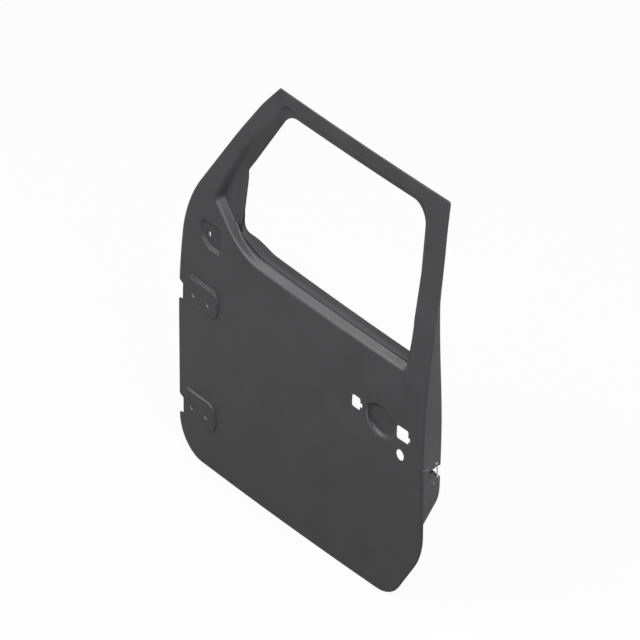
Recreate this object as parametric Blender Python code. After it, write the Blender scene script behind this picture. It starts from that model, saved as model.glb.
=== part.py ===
"""Front car door shell, left hand, as pressed and welded sheet steel.

Door axes: X runs from the hinge edge to the latch edge, Y from the outer
face into the car, Z up. All working sizes below are in millimetres and are
turned into metres, measured from the upper hinge seat, when a mesh is made.
"""
import math

import bpy
import numpy as np
from mathutils import Vector
from mathutils.geometry import delaunay_2d_cdt

# Sheet and joints
SKIN_T = 1.0            # outer panel thickness
INNER_T = 1.0           # inner panel thickness
BRACKET_T = 1.6         # brackets and channels
PLATE_T = 2.0           # hinge and latch reinforcements
WELD_GAP = 0.3          # clearance kept between two touching sheets
HEM_FOLD = 7.5          # width of the folded edge of the outer panel

# Outer face
DOOR_WIDTH = 1011.5
CROWN = 8.0             # outward bulge across the width
TUMBLE_START = 400.0    # height where the face starts to lean inwards
TUMBLE_END = 660.0      # height where the lean is complete
TUMBLE_SLOPE = math.tan(math.radians(7.5))

# Outline corners as (x, z, radius), walked anticlockwise from the front foot
OUTLINE = [(0.0, -5.0, 97.0), (DOOR_WIDTH - 118.5, -1.0, 107.0), (DOOR_WIDTH, 171.0, 170.0),
           (DOOR_WIDTH, 1136.0, 8.0), (329.0, 1140.0, 4.0),
           (268.0, 1070.0, 500.0), (186.0, 959.0, 1500.0), (3.5, 700.0, 286.0),
           (-0.5, 380.0, 900.0)]

# Window recess in the outer panel: border on the skin, border on its floor
RECESS_REAR = DOOR_WIDTH - 77.5
RECESS_TOP = [(RECESS_REAR, 651.0, 28.0), (RECESS_REAR + 4.0, 1101.0, 58.0),
              (352.0, 1107.0, 40.0),
              (222.0, 950.0, 500.0), (117.0, 750.0, 6.0), (262.0, 651.0, 240.0)]
RECESS_FLOOR = [(RECESS_REAR - 6.0, 667.5, 22.0), (RECESS_REAR - 2.0, 1095.0, 52.0),
                (356.0, 1102.0, 36.0),
                (226.0, 937.0, 500.0), (134.0, 760.0, 8.0), (252.0, 667.5, 200.0)]
SHELF_DEPTH = 15.0      # depth of the recess at the belt
SAIL_DEPTH = 18.0       # depth at the front corner patch
PILLAR_DEPTH = 20.0     # depth along the front pillar
HEADER_DEPTH = 11.0     # depth under the header
SAIL_STEP_X = 190.0     # line where the corner patch steps inwards
SAIL_STEP = 3.5

# Window opening of the two panels
OPENING_FRONT = 216.0
OPENING_REAR = DOOR_WIDTH - 99.5
OPENING_TOP = [(OPENING_REAR + 9.5, 1081.0, 42.0), (357.0, 1082.0, 20.0),
               (OPENING_FRONT, 869.0, 12.0)]
BELT_OUTER = 668.5
BELT_INNER = (684.5, 673.5)     # crest of the inner belt rail, front and rear
OUTER_OPENING = [(OPENING_REAR, BELT_OUTER, 8.0)] + OPENING_TOP + [
    (OPENING_FRONT, 724.0, 2.0), (196.0, 714.5, 1.5), (218.0, 699.0, 30.0),
    (262.0, 680.0, 80.0), (310.0, 669.2, 120.0)]
INNER_OPENING = [(OPENING_REAR, BELT_INNER[1], 10.0)] + OPENING_TOP + [
    (OPENING_FRONT, 707.0, 20.0), (262.0, 694.5, 60.0), (330.0, BELT_INNER[0], 150.0)]
BELT_FLANGE = 20.0      # leg of the outer panel turned down into the slot
LEDGE_NEAR = 26.0       # outboard edge of the inner belt ledge, from the skin
LEDGE_FAR = 35.5        # inboard edge of that ledge
LEDGE_DROP = 1.5        # ledge below the edge of the outer panel
BELT_LEG = 30.0         # leg of the inner belt rail that runs down beside the glass
STRIP_START = (22.9, 225.0, 262.0)  # strip depth at the front, and where it deepens
FRAME_FLANGE = 13.0     # width of the welded flange round the opening

# Hinge bosses, both on one plane so that the hinges line up
HINGE_PLANE = -8.0
BOSS_FRONT = 40.0
BOSS_REAR = 178.0
BOSS_HALF = 41.5
UPPER_HINGE = (111.0, 472.0)
LOWER_HINGE = (100.0, 144.0)
HINGE_HOLES = (-38.0, 23.0)
HINGE_HOLE_DROP = -5.0
HINGE_HOLE_R = 6.5
NOTCH_DEPTH = 18.5
NOTCH_HALF = 21.5
NOTCH_SPLAY = 11.0
NOTCH_DROP = -22.0      # notch centre below the boss centre

# Mirror pocket, handle dish and the holes for handle and lock
MIRROR_POCKET = [(84.0, 616.0, 40.0), (170.0, 614.0, 12.0), (168.0, 690.0, 22.0),
                 (66.0, 690.0, 18.0)]
MIRROR_DEPTH = 6.0
MIRROR_LEAN = 3.0
MIRROR_HOLE = (112.0, 650.0, 7.0, 10.5)
HANDLE_X = DOOR_WIDTH - 164.5   # middle of the handle
DISH = (HANDLE_X, 485.0, 58.0, 44.0)
DISH_WALL = 15.0
DISH_DEPTH = 13.0
HANDLE_HOLE_FRONT = [(HANDLE_X - 115.0, 469.0, 6.0), (HANDLE_X - 83.0, 469.0, 4.0),
                     (HANDLE_X - 83.0, 479.0, 1.5), (HANDLE_X - 74.0, 479.0, 1.5),
                     (HANDLE_X - 74.0, 490.0, 1.5), (HANDLE_X - 82.0, 490.0, 1.5),
                     (HANDLE_X - 82.0, 502.0, 6.0), (HANDLE_X - 115.0, 502.0, 8.0)]
HANDLE_HOLE_REAR = [(HANDLE_X + 63.0, 464.0, 6.0), (HANDLE_X + 109.0, 464.0, 4.0),
                    (HANDLE_X + 109.0, 472.0, 1.5), (HANDLE_X + 115.0, 472.0, 1.5),
                    (HANDLE_X + 115.0, 483.0, 1.5), (HANDLE_X + 108.0, 483.0, 1.5),
                    (HANDLE_X + 108.0, 500.0, 5.0), (HANDLE_X + 63.0, 500.0, 8.0)]
LOCK_HOLE = (HANDLE_X + 80.0, 422.0, 15.5)

# Inner panel: face depth, ledges and the foot and top of its side walls
FACE_Y = 60.0
FRONT_FACE_Y = 50.0
FRONT_STEP = (94.0, 114.0)
REAR_BULGE = 7.0
REAR_BULGE_Z = 530.0
REAR_BULGE_SPREAD = 170.0
REAR_BULGE_X = (DOOR_WIDTH - 131.5, DOOR_WIDTH - 71.5)
FRAME_EDGE = 16.0       # depth of the frame at its outer edge
FRAME_EDGE_DROP = 5.0   # how much shallower that edge is under the header
FRAME_FACE = 25.0       # depth of the frame further in
WALL_FOOT = [26.0, 42.0, 10.0, 10.5, 10.5, 10.5, 10.5, 16.0, 16.0]
WALL_TOP = [52.0, 90.0, 12.5, 15.0, 15.0, 15.0, 15.0, 24.0, 24.0]
WALL_FOOT_R = [85.0, 95.0, 120.0, 4.0, 3.0, 500.0, 1500.0, 270.0, 900.0]
WALL_TOP_R = [75.0, 95.0, 85.0, 4.0, 3.0, 500.0, 1500.0, 260.0, 900.0]
ACCESS_HOLE = (600.0, 318.0, DOOR_WIDTH - 106.5, 470.0, 35.0)
REGULATOR_HOLE = (300.0, 380.0, 552.0, 600.0, 42.0)
SPEAKER_HOLE = (235.0, 205.0, 82.0)
HARNESS_HOLE = (71.0, 620.0, 17.0)
CLIP_HOLE_R = 2.7
CLIP_HOLES = [(140.0, 330.0), (140.0, 560.0), (400.0, 90.0), (600.0, 90.0),
              (790.0, 110.0), (400.0, 345.0), (576.0, 490.0), (700.0, 560.0),
              (860.0, 560.0), (940.0, 620.0)]
BEAD = (380.0, 262.0, 800.0, 15.0)      # start x, height, end x, half width
BEAD_HEIGHT = 6.0
BEAD_SLOPE = 7.0

# Latch opening in the rear wall as (y, z) corners, and its screw holes
LATCH_MOUTH = [(29.0, 367.0), (90.0, 381.0), (90.0, 409.0), (64.0, 407.0),
               (36.0, 401.0), (29.0, 395.0)]
LATCH_FACE_X = DOOR_WIDTH - 45.5
LATCH_FACE_Z = (378.0, 407.0)
LATCH_SCREWS = [(54.0, 414.5, 3.6), (24.5, 409.0, 3.6), (44.0, 362.5, 3.6),
                (14.0, 407.0, 2.2)]
STRAP_SLOT = (20.0, 36.0, 352.0, 372.0)

# Beam, channels and small parts
BEAM_R = 12.5
BEAM_WALL = 2.0
BEAM_Y = 12.5
BEAM_FRONT = (70.0, 300.0)
BEAM_REAR = (DOOR_WIDTH - 66.5, 322.0)
PAD_X = (380.0, 620.0)
PAD_SIZE = (60.0, 40.0)
CHANNEL_T = 1.2
CHANNEL_W = 14.0
CHANNEL_DEPTH = 12.0
CHANNEL_Y = 24.0        # outboard face of the glass channels below the belt
CHANNEL_REAR = 46.0     # back of the rear channel behind the window opening
NUT_R = 6.5
NUT_H = 5.0
NUT_BORE = 2.5
NUT_HOLE_R = 3.2        # hole in the inner panel in front of each nut
NUT_SPOTS = [(270.0, 640.0), (600.0, 640.0), (575.0, 430.0), (275.0, 345.0)]

# Row frame: the middle of the upper hinge seat is the origin
ORIGIN = (UPPER_HINGE[0], HINGE_PLANE, UPPER_HINGE[1])
MM = 0.001

PAINT = {
    "outer_primer": ((0.074, 0.074, 0.076, 1.0), 0.0, 0.55),
    "inner_primer": ((0.079, 0.079, 0.081, 1.0), 0.0, 0.6),
    "bracket_primer": ((0.068, 0.068, 0.070, 1.0), 0.0, 0.6),
    "beam_primer": ((0.060, 0.060, 0.062, 1.0), 0.0, 0.5),
    "plate_primer": ((0.072, 0.072, 0.072, 1.0), 0.0, 0.5),
    "nut_zinc": ((0.45, 0.45, 0.44, 1.0), 0.9, 0.4),
    "pad_mastic": ((0.035, 0.035, 0.036, 1.0), 0.0, 0.9),
}


def clear_scene():
    """Remove every object that a new file brings."""
    for item in list(bpy.data.objects):
        bpy.data.objects.remove(item, do_unlink=True)


def paint(name):
    """Plain Principled material from the table of finishes."""
    if name in bpy.data.materials:
        return bpy.data.materials[name]
    colour, metal, rough = PAINT[name]
    mat = bpy.data.materials.new(name)
    mat.use_nodes = True
    shader = mat.node_tree.nodes["Principled BSDF"]
    shader.inputs["Base Color"].default_value = colour
    shader.inputs["Metallic"].default_value = metal
    shader.inputs["Roughness"].default_value = rough
    mat.diffuse_color = colour
    return mat


def shift_sides(corners, insets, radii=None):
    """Move each side of a corner loop inwards; side i runs from corner i to i + 1."""
    count = len(corners)
    pts = np.array([(c[0], c[1]) for c in corners])
    step = np.roll(pts, -1, axis=0) - pts
    step /= np.linalg.norm(step, axis=1)[:, None]
    normal = np.stack([-step[:, 1], step[:, 0]], axis=1)
    out = []
    for i in range(count):
        before, after = i - 1, i
        lhs = np.array([normal[before], normal[after]])
        rhs = [normal[before] @ pts[i] + insets[before],
               normal[after] @ pts[i] + insets[after]]
        spot = np.linalg.solve(lhs, rhs)
        if radii is None:
            convex = step[before][0] * step[after][1] - step[before][1] * step[after][0] > 0
            drop = 0.5 * (insets[before] + insets[after])
            radius = max(corners[i][2] - (drop if convex else -drop), 0.6)
        else:
            radius = radii[i]
        out.append((spot[0], spot[1], radius))
    return out


def rounded(corners, pitch=80.0, base=None):
    """Closed loop of points along sides and corner arcs.

    The number of points on each arc and side comes from `base`, so loops made
    from moved copies of one outline match point for point.
    """
    base = base or corners
    pts = np.array([(c[0], c[1]) for c in corners])
    ref = np.array([(c[0], c[1]) for c in base])
    count = len(corners)
    arcs = []
    for i in range(count):
        a = pts[i] - pts[i - 1]
        b = pts[(i + 1) % count] - pts[i]
        a /= np.linalg.norm(a)
        b /= np.linalg.norm(b)
        cross = a[0] * b[1] - a[1] * b[0]
        turn = math.atan2(cross, a @ b)
        reach = corners[i][2] * math.tan(abs(turn) / 2)
        sagitta = math.sqrt(8 * 0.45 / max(base[i][2], 1.0))
        steps = max(1, math.ceil(abs(turn) / min(sagitta, 0.62)))
        side = 1.0 if cross > 0 else -1.0
        centre = pts[i] - a * reach + side * corners[i][2] * np.array([-a[1], a[0]])
        start = pts[i] - a * reach - centre
        arc = []
        for k in range(steps + 1):
            ang = turn * k / steps
            arc.append(centre + np.array([start[0] * math.cos(ang) - start[1] * math.sin(ang),
                                          start[0] * math.sin(ang) + start[1] * math.cos(ang)]))
        arcs.append(arc)
    loop = []
    for i in range(count):
        loop.extend(arcs[i])
        nxt = arcs[(i + 1) % count][0]
        span = np.linalg.norm(ref[(i + 1) % count] - ref[i])
        cuts = max(1, round(span / pitch))
        for k in range(1, cuts):
            loop.append(arcs[i][-1] + (nxt - arcs[i][-1]) * k / cuts)
    return np.array(loop)


def oval(x, z, rx, rz, steps=24):
    """Anticlockwise ellipse of points."""
    ang = np.arange(steps) * 2 * math.pi / steps
    return np.stack([x + rx * np.cos(ang), z + rz * np.sin(ang)], axis=1)


def box_loop(x0, z0, x1, z1, r, pitch=80.0):
    """Rectangle with round corners."""
    return rounded([(x0, z0, r), (x1, z0, r), (x1, z1, r), (x0, z1, r)], pitch)


def edge_distance(points, loop, closed=True):
    """Shortest distance from each point to a loop of straight sides."""
    a = loop
    b = np.roll(loop, -1, axis=0)
    if not closed:
        a, b = loop[:-1], loop[1:]
    best = np.full(len(points), 1e9)
    for p, q in zip(a, b):
        d = q - p
        size = max(d @ d, 1e-12)
        t = np.clip(((points - p) @ d) / size, 0.0, 1.0)
        gap = points - (p + t[:, None] * d)
        best = np.minimum(best, np.hypot(gap[:, 0], gap[:, 1]))
    return best


def inside(points, loop):
    """True where a point lies within a closed loop."""
    flag = np.zeros(len(points), dtype=bool)
    a = loop
    b = np.roll(loop, -1, axis=0)
    for p, q in zip(a, b):
        if p[1] == q[1]:
            continue
        hit = (p[1] > points[:, 1]) != (q[1] > points[:, 1])
        cross = p[0] + (points[:, 1] - p[1]) * (q[0] - p[0]) / (q[1] - p[1])
        flag ^= hit & (points[:, 0] < cross)
    return flag


def ramp(points, top, floor):
    """0 outside `top`, 1 inside `floor`, and an even slope between them."""
    near = edge_distance(points, top)
    far = edge_distance(points, floor)
    value = near / np.maximum(near + far, 1e-9)
    value[~inside(points, top)] = 0.0
    value[inside(points, floor)] = 1.0
    return value


def glide(value, low, high):
    """Straight blend from 0 at `low` to 1 at `high`."""
    return np.clip((value - low) / (high - low), 0.0, 1.0)


def skin(x, z):
    """Depth of the plain outer face: a crown across it and a lean above the waist."""
    mid = DOOR_WIDTH / 2
    crown = -CROWN * (1 - ((x - mid) / mid) ** 2)
    span = TUMBLE_END - TUMBLE_START
    curve = TUMBLE_SLOPE * np.clip(z - TUMBLE_START, 0.0, span) ** 2 / (2 * span)
    return crown + curve + TUMBLE_SLOPE * np.maximum(z - TUMBLE_END, 0.0)


def recess_depth(x, z):
    """Depth of the window recess floor below the skin."""
    depth = np.interp(z, [665.0, 725.0, 900.0, 1060.0],
                      [SHELF_DEPTH, SAIL_DEPTH, PILLAR_DEPTH, HEADER_DEPTH])
    patch = glide(x, SAIL_STEP_X - 4, SAIL_STEP_X + 4) * glide(240.0 - x, 0.0, 12.0)
    patch = patch * glide(z, 690.0, 712.0) * glide(870.0 - z, 0.0, 30.0)
    return depth + SAIL_STEP * patch


def boss_loops(spot):
    """Foot and top loops of a hinge boss."""
    z0, z1 = spot[1] - BOSS_HALF, spot[1] + BOSS_HALF
    shift = spot[0] - UPPER_HINGE[0]
    x0, x1 = BOSS_FRONT + shift, BOSS_REAR + shift
    foot = [(x0, z0, 14.0), (x1, z0, 38.0), (x1, z1, 38.0), (x0, z1, 14.0)]
    return rounded(foot), rounded(shift_sides(foot, [8.0, 7.0, 7.0, 7.0]))


def pocket_loops():
    """Border and floor loops of the mirror pocket."""
    return rounded(MIRROR_POCKET), rounded(shift_sides(MIRROR_POCKET, [5.0, 4.0, 12.0, 5.0]))


def dish_loops():
    """Border and floor loops of the handle dish."""
    x, z, rx, rz = DISH
    return oval(x, z, rx, rz, 28), oval(x, z, rx - DISH_WALL, rz - DISH_WALL, 28)


def outer_face(x, z):
    """Depth of the outer panel with its bosses, pocket, dish and window recess."""
    pts = np.stack([x, z], axis=1)
    base = skin(x, z)
    y = base + ramp(pts, rounded(RECESS_TOP), rounded(RECESS_FLOOR)) * recess_depth(x, z)
    for spot in (UPPER_HINGE, LOWER_HINGE):
        part = ramp(pts, *boss_loops(spot))
        y = y * (1 - part) + HINGE_PLANE * part
    lean = glide(x, 72.0, 165.0)
    y = y + ramp(pts, *pocket_loops()) * (MIRROR_DEPTH + MIRROR_LEAN * lean)
    return y + ramp(pts, *dish_loops()) * DISH_DEPTH


def outer_rest(x, z, lift):
    """Depth of a surface that lies `lift` off the outer panel, square to it."""
    step = 0.4
    here = outer_face(x, z)
    dx = (outer_face(x + step, z) - outer_face(x - step, z)) / (2 * step)
    dz = (outer_face(x, z + step) - outer_face(x, z - step)) / (2 * step)
    return here + lift * np.sqrt(1 + np.minimum(dx * dx + dz * dz, 1.6))


def belt_strip(x):
    """Depth of the upright face of the inner belt rail below the skin."""
    first, x0, x1 = STRIP_START
    return first + (LEDGE_FAR - first) * glide(x, x0, x1)


def wall_loops():
    """Foot loop, top loop and inner ledge loop of the pan of the inner panel."""
    foot = shift_sides(OUTLINE, WALL_FOOT, WALL_FOOT_R)
    top = shift_sides(OUTLINE, WALL_TOP, WALL_TOP_R)
    ledge = shift_sides(top, [14.0] * len(top))
    return rounded(foot), rounded(top), rounded(ledge)


def opening_loops():
    """Flange loops of the inner panel round the window."""
    near = shift_sides(INNER_OPENING, [-FRAME_FLANGE] * len(INNER_OPENING))
    far = shift_sides(INNER_OPENING, [-FRAME_FLANGE - 11.0] * len(INNER_OPENING))
    return rounded(near), rounded(far)


def bead_loops():
    """Foot and top loops of the stiffening bead in the inner panel."""
    x0, z, x1, half = BEAD
    foot = [(x0, z - half, half - 0.5), (x1, z - half, half - 0.5),
            (x1, z + half, half - 0.5), (x0, z + half, half - 0.5)]
    return rounded(foot), rounded(shift_sides(foot, [BEAD_SLOPE] * 4))


def inner_face(x, z):
    """Depth of the outboard side of the inner panel."""
    pts = np.stack([x, z], axis=1)
    foot, top, ledge = wall_loops()
    rim = skin(x, z) + SKIN_T + WELD_GAP
    flat = FACE_Y + (FRONT_FACE_Y - FACE_Y) * (1 - glide(x, *FRONT_STEP))
    bulge = np.exp(-((z - REAR_BULGE_Z) / REAR_BULGE_SPREAD) ** 2)
    flat = flat + REAR_BULGE * bulge * glide(x, *REAR_BULGE_X)
    into = glide(edge_distance(pts, top), 0.0, 14.0) * inside(pts, top)
    edge = FRAME_EDGE - FRAME_EDGE_DROP * glide(z, 950.0, 1100.0)
    frame = skin(x, z) + edge + (FRAME_FACE - edge) * into
    face = np.maximum(flat, frame)
    flange = recess_depth(x, z) + SKIN_T + 4 * WELD_GAP
    belt = belt_strip(x) + BRACKET_T + WELD_GAP + 1.8 * (1 - glide(x, 300.0, 340.0))
    back = glide(x, 300.0, 800.0)
    low = 1 - np.clip((z - 738.0 + 38.0 * back) / (14.0 + 46.0 * back), 0.0, 1.0)
    flange = skin(x, z) + flange * (1 - low) + belt * low
    near, far = opening_loops()
    part = ramp(pts, far, near)
    face = face * (1 - part) + flange * part
    face = face - BEAD_HEIGHT * ramp(pts, *bead_loops())
    wall = ramp(pts, foot, top)
    return rim * (1 - wall) + face * wall


def fill(border, holes, creases, pitch):
    """Triangles that fill a border, leave the holes out and keep every crease."""
    points, edges, barred = [], [], []
    loops = [(border, True, 1)] + [(h, True, -1) for h in holes]
    for loop, closed, side in loops + [(line, flag, 0) for line, flag in creases]:
        first = len(points)
        points.extend(map(tuple, loop))
        last = len(loop) if closed else len(loop) - 1
        spans = [(first + k, first + (k + 1) % len(loop)) for k in range(last)]
        edges.extend(spans)
        barred.extend([(b, a) if side > 0 else (a, b) for a, b in spans if side])
    low, high = border.min(axis=0), border.max(axis=0)
    gx = np.arange(low[0] + pitch / 2, high[0], pitch)
    gz = np.arange(low[1] + pitch / 2, high[1], pitch)
    grid = np.stack(np.meshgrid(gx, gz), axis=-1).reshape(-1, 2)
    keep = inside(grid, border) & (edge_distance(grid, border) > pitch * 0.45)
    for hole in holes:
        keep &= ~inside(grid, hole) & (edge_distance(grid, hole) > pitch * 0.45)
    for loop, closed in creases:
        keep &= edge_distance(grid, loop, closed) > pitch * 0.45
    points.extend(map(tuple, grid[keep]))
    result = delaunay_2d_cdt([Vector(p) for p in points], edges, [], 0, 1e-4)
    verts = np.array([(v[0], v[1]) for v in result[0]])
    tris = np.array([f for f in result[2] if len(f) == 3])
    mid = verts[tris].mean(axis=1)
    keep = inside(mid, border)
    for hole in holes:
        keep &= ~inside(mid, hole)
    a, b, c = verts[tris[:, 0]], verts[tris[:, 1]], verts[tris[:, 2]]
    area = (b[:, 0] - a[:, 0]) * (c[:, 1] - a[:, 1]) - (b[:, 1] - a[:, 1]) * (c[:, 0] - a[:, 0])
    keep &= np.abs(area) > 1e-6
    tris[area < 0] = tris[area < 0][:, ::-1]
    source = {i: k for k, group in enumerate(result[3]) for i in group}
    barred = {(source[a], source[b]) for a, b in barred}
    for k, t in enumerate(tris):
        sides = ((t[0], t[1]), (t[1], t[2]), (t[2], t[0]))
        if any((int(a), int(b)) in barred for a, b in sides):
            keep[k] = False
    return verts, tris[keep]


def thicken(verts, faces, depth):
    """Close one layer of faces into a solid sheet of even thickness.

    Each point moves to where the planes of its faces meet after they all moved
    by `depth` against their normals.
    """
    verts = np.asarray(verts, dtype=float)
    used = np.unique(np.concatenate([np.asarray(f) for f in faces]))
    remap = -np.ones(len(verts), dtype=int)
    remap[used] = np.arange(len(used))
    verts = verts[used]
    faces = [tuple(int(remap[i]) for i in f) for f in faces]
    lhs = np.zeros((len(verts), 3, 3))
    rhs = np.zeros((len(verts), 3))
    for face in faces:
        pts = verts[list(face)]
        for k, i in enumerate(face):
            u = pts[(k + 1) % len(face)] - pts[k]
            v = pts[k - 1] - pts[k]
            normal = np.cross(u, v)
            size = np.linalg.norm(normal)
            if size < 1e-9:
                continue
            normal /= size
            weight = math.atan2(size, u @ v)
            lhs[i] += weight * np.outer(normal, normal)
            rhs[i] += weight * normal
    lhs += 0.004 * np.eye(3)
    move = np.linalg.solve(lhs, rhs[:, :, None])[:, :, 0]
    back = verts - depth * move
    total = len(verts)
    count = {}
    for face in faces:
        for k in range(len(face)):
            key = (face[k], face[(k + 1) % len(face)])
            count[key] = count.get(key, 0) + 1
    shell = list(faces) + [tuple(i + total for i in reversed(f)) for f in faces]
    for a, b in count:
        if (b, a) not in count:
            shell.append((b, a, a + total, b + total))
    if depth < 0:
        shell = [tuple(reversed(face)) for face in shell]
    return np.concatenate([verts, back]), shell


def solid(name, verts, faces, finish, smooth=35.0):
    """Mesh object in metres from points in door millimetres."""
    mesh = bpy.data.meshes.new(name)
    spots = (np.asarray(verts, dtype=float) - np.array(ORIGIN)) * MM
    mesh.from_pydata(spots.tolist(), [], [tuple(map(int, f)) for f in faces])
    mesh.validate()
    mesh.update()
    mesh.materials.append(paint(finish))
    if smooth:
        mesh.polygons.foreach_set("use_smooth", [True] * len(mesh.polygons))
        mesh.set_sharp_from_angle(angle=math.radians(smooth))
    item = bpy.data.objects.new(name, mesh)
    bpy.context.scene.collection.objects.link(item)
    return item


def cut(item, tool):
    """Take a hidden cutter out of a part with an exact Boolean."""
    tool.hide_render = True
    tool.display_type = "WIRE"
    change = item.modifiers.new("cut_" + tool.name, "BOOLEAN")
    change.operation = "DIFFERENCE"
    change.solver = "EXACT"
    change.object = tool


def prism(name, loop, axis, start, end, finish="plate_primer"):
    """Straight prism with its section in the plane square to `axis`.

    Sections are (y, z) for axis X, (x, z) for axis Y and (x, y) for axis Z.
    """
    loop = np.asarray(loop, dtype=float)
    count = len(loop)
    nxt = np.roll(loop, -1, axis=0)
    turn = np.sum(loop[:, 0] * nxt[:, 1] - nxt[:, 0] * loop[:, 1])
    if turn < 0:
        loop = loop[::-1]
    order = {"X": (1, 2, 0), "Y": (0, 2, 1), "Z": (0, 1, 2)}[axis]
    verts = np.zeros((2 * count, 3))
    for part, level in enumerate((start, end)):
        rows = slice(part * count, (part + 1) * count)
        verts[rows, order[0]] = loop[:, 0]
        verts[rows, order[1]] = loop[:, 1]
        verts[rows, order[2]] = level
    faces = [tuple(reversed(range(count))), tuple(range(count, 2 * count))]
    faces += [(k, (k + 1) % count, count + (k + 1) % count, count + k) for k in range(count)]
    if axis == "Y":
        faces = [tuple(reversed(f)) for f in faces]
    return solid(name, verts, faces, finish, smooth=30.0)


def strip_section(path, thick):
    """Closed section of a bent strip: the path and its copy moved by `thick`."""
    path = np.asarray(path, dtype=float)
    step = np.diff(path, axis=0)
    step /= np.linalg.norm(step, axis=1)[:, None]
    side = np.stack([-step[:, 1], step[:, 0]], axis=1)
    moved = []
    for k in range(len(path)):
        if k == 0:
            moved.append(path[0] + thick * side[0])
        elif k == len(path) - 1:
            moved.append(path[-1] + thick * side[-1])
        else:
            share = side[k - 1] + side[k]
            moved.append(path[k] + thick * 2 * share / (share @ share))
    return np.concatenate([path, np.array(moved)[::-1]])


def drilled_plate(name, loop, holes, place, thick, finish, pitch=60.0):
    """Sheet over a flat outline, placed in space by `place` and given thickness."""
    flat, tris = fill(loop, holes, [], pitch)
    return solid(name, *thicken(place(flat), tris, thick), finish)


def hem_strip(verts, faces, loop):
    """Fold the rim of the outer panel round and back over the inner flange."""
    fold = 2 * SKIN_T + INNER_T + 2 * WELD_GAP
    rings = [(0.55, 0.45), (0.0, fold * 0.5), (0.55, fold - 0.45), (1.8, fold),
             (HEM_FOLD, fold)]
    rim = []
    for point in loop:
        rim.append(int(np.argmin(np.hypot(verts[:, 0] - point[0], verts[:, 2] - point[1]))))
    for inset, rise in rings:
        ring = rounded(shift_sides(OUTLINE, [inset] * len(OUTLINE)), base=OUTLINE)
        first = len(verts)
        height = skin(ring[:, 0], ring[:, 1]) + rise
        verts = np.concatenate([verts, np.stack([ring[:, 0], height, ring[:, 1]], axis=1)])
        nxt = list(range(first, first + len(ring)))
        for k in range(len(ring)):
            j = (k + 1) % len(ring)
            faces.append((rim[j], rim[k], nxt[k], nxt[j]))
        rim = nxt
    return verts, faces


def hinge_holes(spot):
    """Centres of the two bolt holes of a hinge."""
    return [(spot[0] + dx, spot[1] + HINGE_HOLE_DROP) for dx in HINGE_HOLES]


def outer_holes():
    """Every hole of the outer panel except the window."""
    holes = [oval(x, z, HINGE_HOLE_R, HINGE_HOLE_R, 12)
             for spot in (UPPER_HINGE, LOWER_HINGE) for x, z in hinge_holes(spot)]
    x, z, rx, rz = MIRROR_HOLE
    holes += [oval(x, z, rx, rz, 14), oval(LOCK_HOLE[0], LOCK_HOLE[1], LOCK_HOLE[2],
                                           LOCK_HOLE[2], 20)]
    return holes + [rounded(HANDLE_HOLE_FRONT), rounded(HANDLE_HOLE_REAR)]


def build_outer_panel():
    """Outer skin with hem, recess, bosses, pocket, dish and belt flange."""
    rim = rounded(shift_sides(OUTLINE, [1.8] * len(OUTLINE)), base=OUTLINE)
    opening = rounded(OUTER_OPENING)
    creases = [(rounded(RECESS_TOP), True), (rounded(RECESS_FLOOR), True)]
    for pair in (boss_loops(UPPER_HINGE), boss_loops(LOWER_HINGE), pocket_loops(),
                 dish_loops()):
        creases += [(loop, True) for loop in pair]
    for line in (SAIL_STEP_X - 4, SAIL_STEP_X + 4):
        creases.append((np.array([(line, z) for z in (722.0, 760.0, 800.0, 840.0)]), False))
    for z in (TUMBLE_START, TUMBLE_START + 65, TUMBLE_START + 130, TUMBLE_START + 195):
        last = 700.0 if TUMBLE_START < z < TUMBLE_START + 150 else 990.0
        creases.append((np.array([(x, z) for x in np.linspace(210.0, last, 10)]), False))
    flat, tris = fill(rim, [opening] + outer_holes(), creases, 75.0)
    depth = outer_face(flat[:, 0], flat[:, 1])
    verts = np.stack([flat[:, 0], depth, flat[:, 1]], axis=1)
    faces = [tuple(map(int, t)) for t in tris]
    verts, faces = hem_strip(verts, faces, rim)
    ends = []
    for x, z in opening:
        ends.append(int(np.argmin(np.hypot(verts[:len(flat), 0] - x,
                                           verts[:len(flat), 2] - z))))
    low = [z < 697.0 and 224.0 < x < OPENING_REAR - 6 for x, z in opening]
    extra = {}
    for k, i in enumerate(ends):
        if low[k]:
            extra[k] = len(verts)
            spot = verts[i] - np.array([0.0, 0.0, BELT_FLANGE])
            verts = np.concatenate([verts, spot[None, :]])
    for k in range(len(ends)):
        j = (k + 1) % len(ends)
        if low[k] and low[j]:
            faces.append((ends[k], ends[j], extra[j], extra[k]))
    item = solid("outer_panel", *thicken(verts, faces, SKIN_T), "outer_primer")
    for mark, spot in (("upper", UPPER_HINGE), ("lower", LOWER_HINGE)):
        cut(item, notch_cutter(mark, spot))
    return item


def notch_cutter(mark, spot):
    """Cutter for the notch in the front edge beside a hinge."""
    name = "cutter_notch_" + mark
    if name in bpy.data.objects:
        return bpy.data.objects[name]
    z = spot[1] + NOTCH_DROP
    half, wide = NOTCH_HALF, NOTCH_HALF + NOTCH_SPLAY
    loop = [(-12.0, z - wide), (NOTCH_DEPTH, z - half), (NOTCH_DEPTH, z + half),
            (-12.0, z + wide)]
    return prism(name, loop, "Y", -20.0, 30.0)


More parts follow.
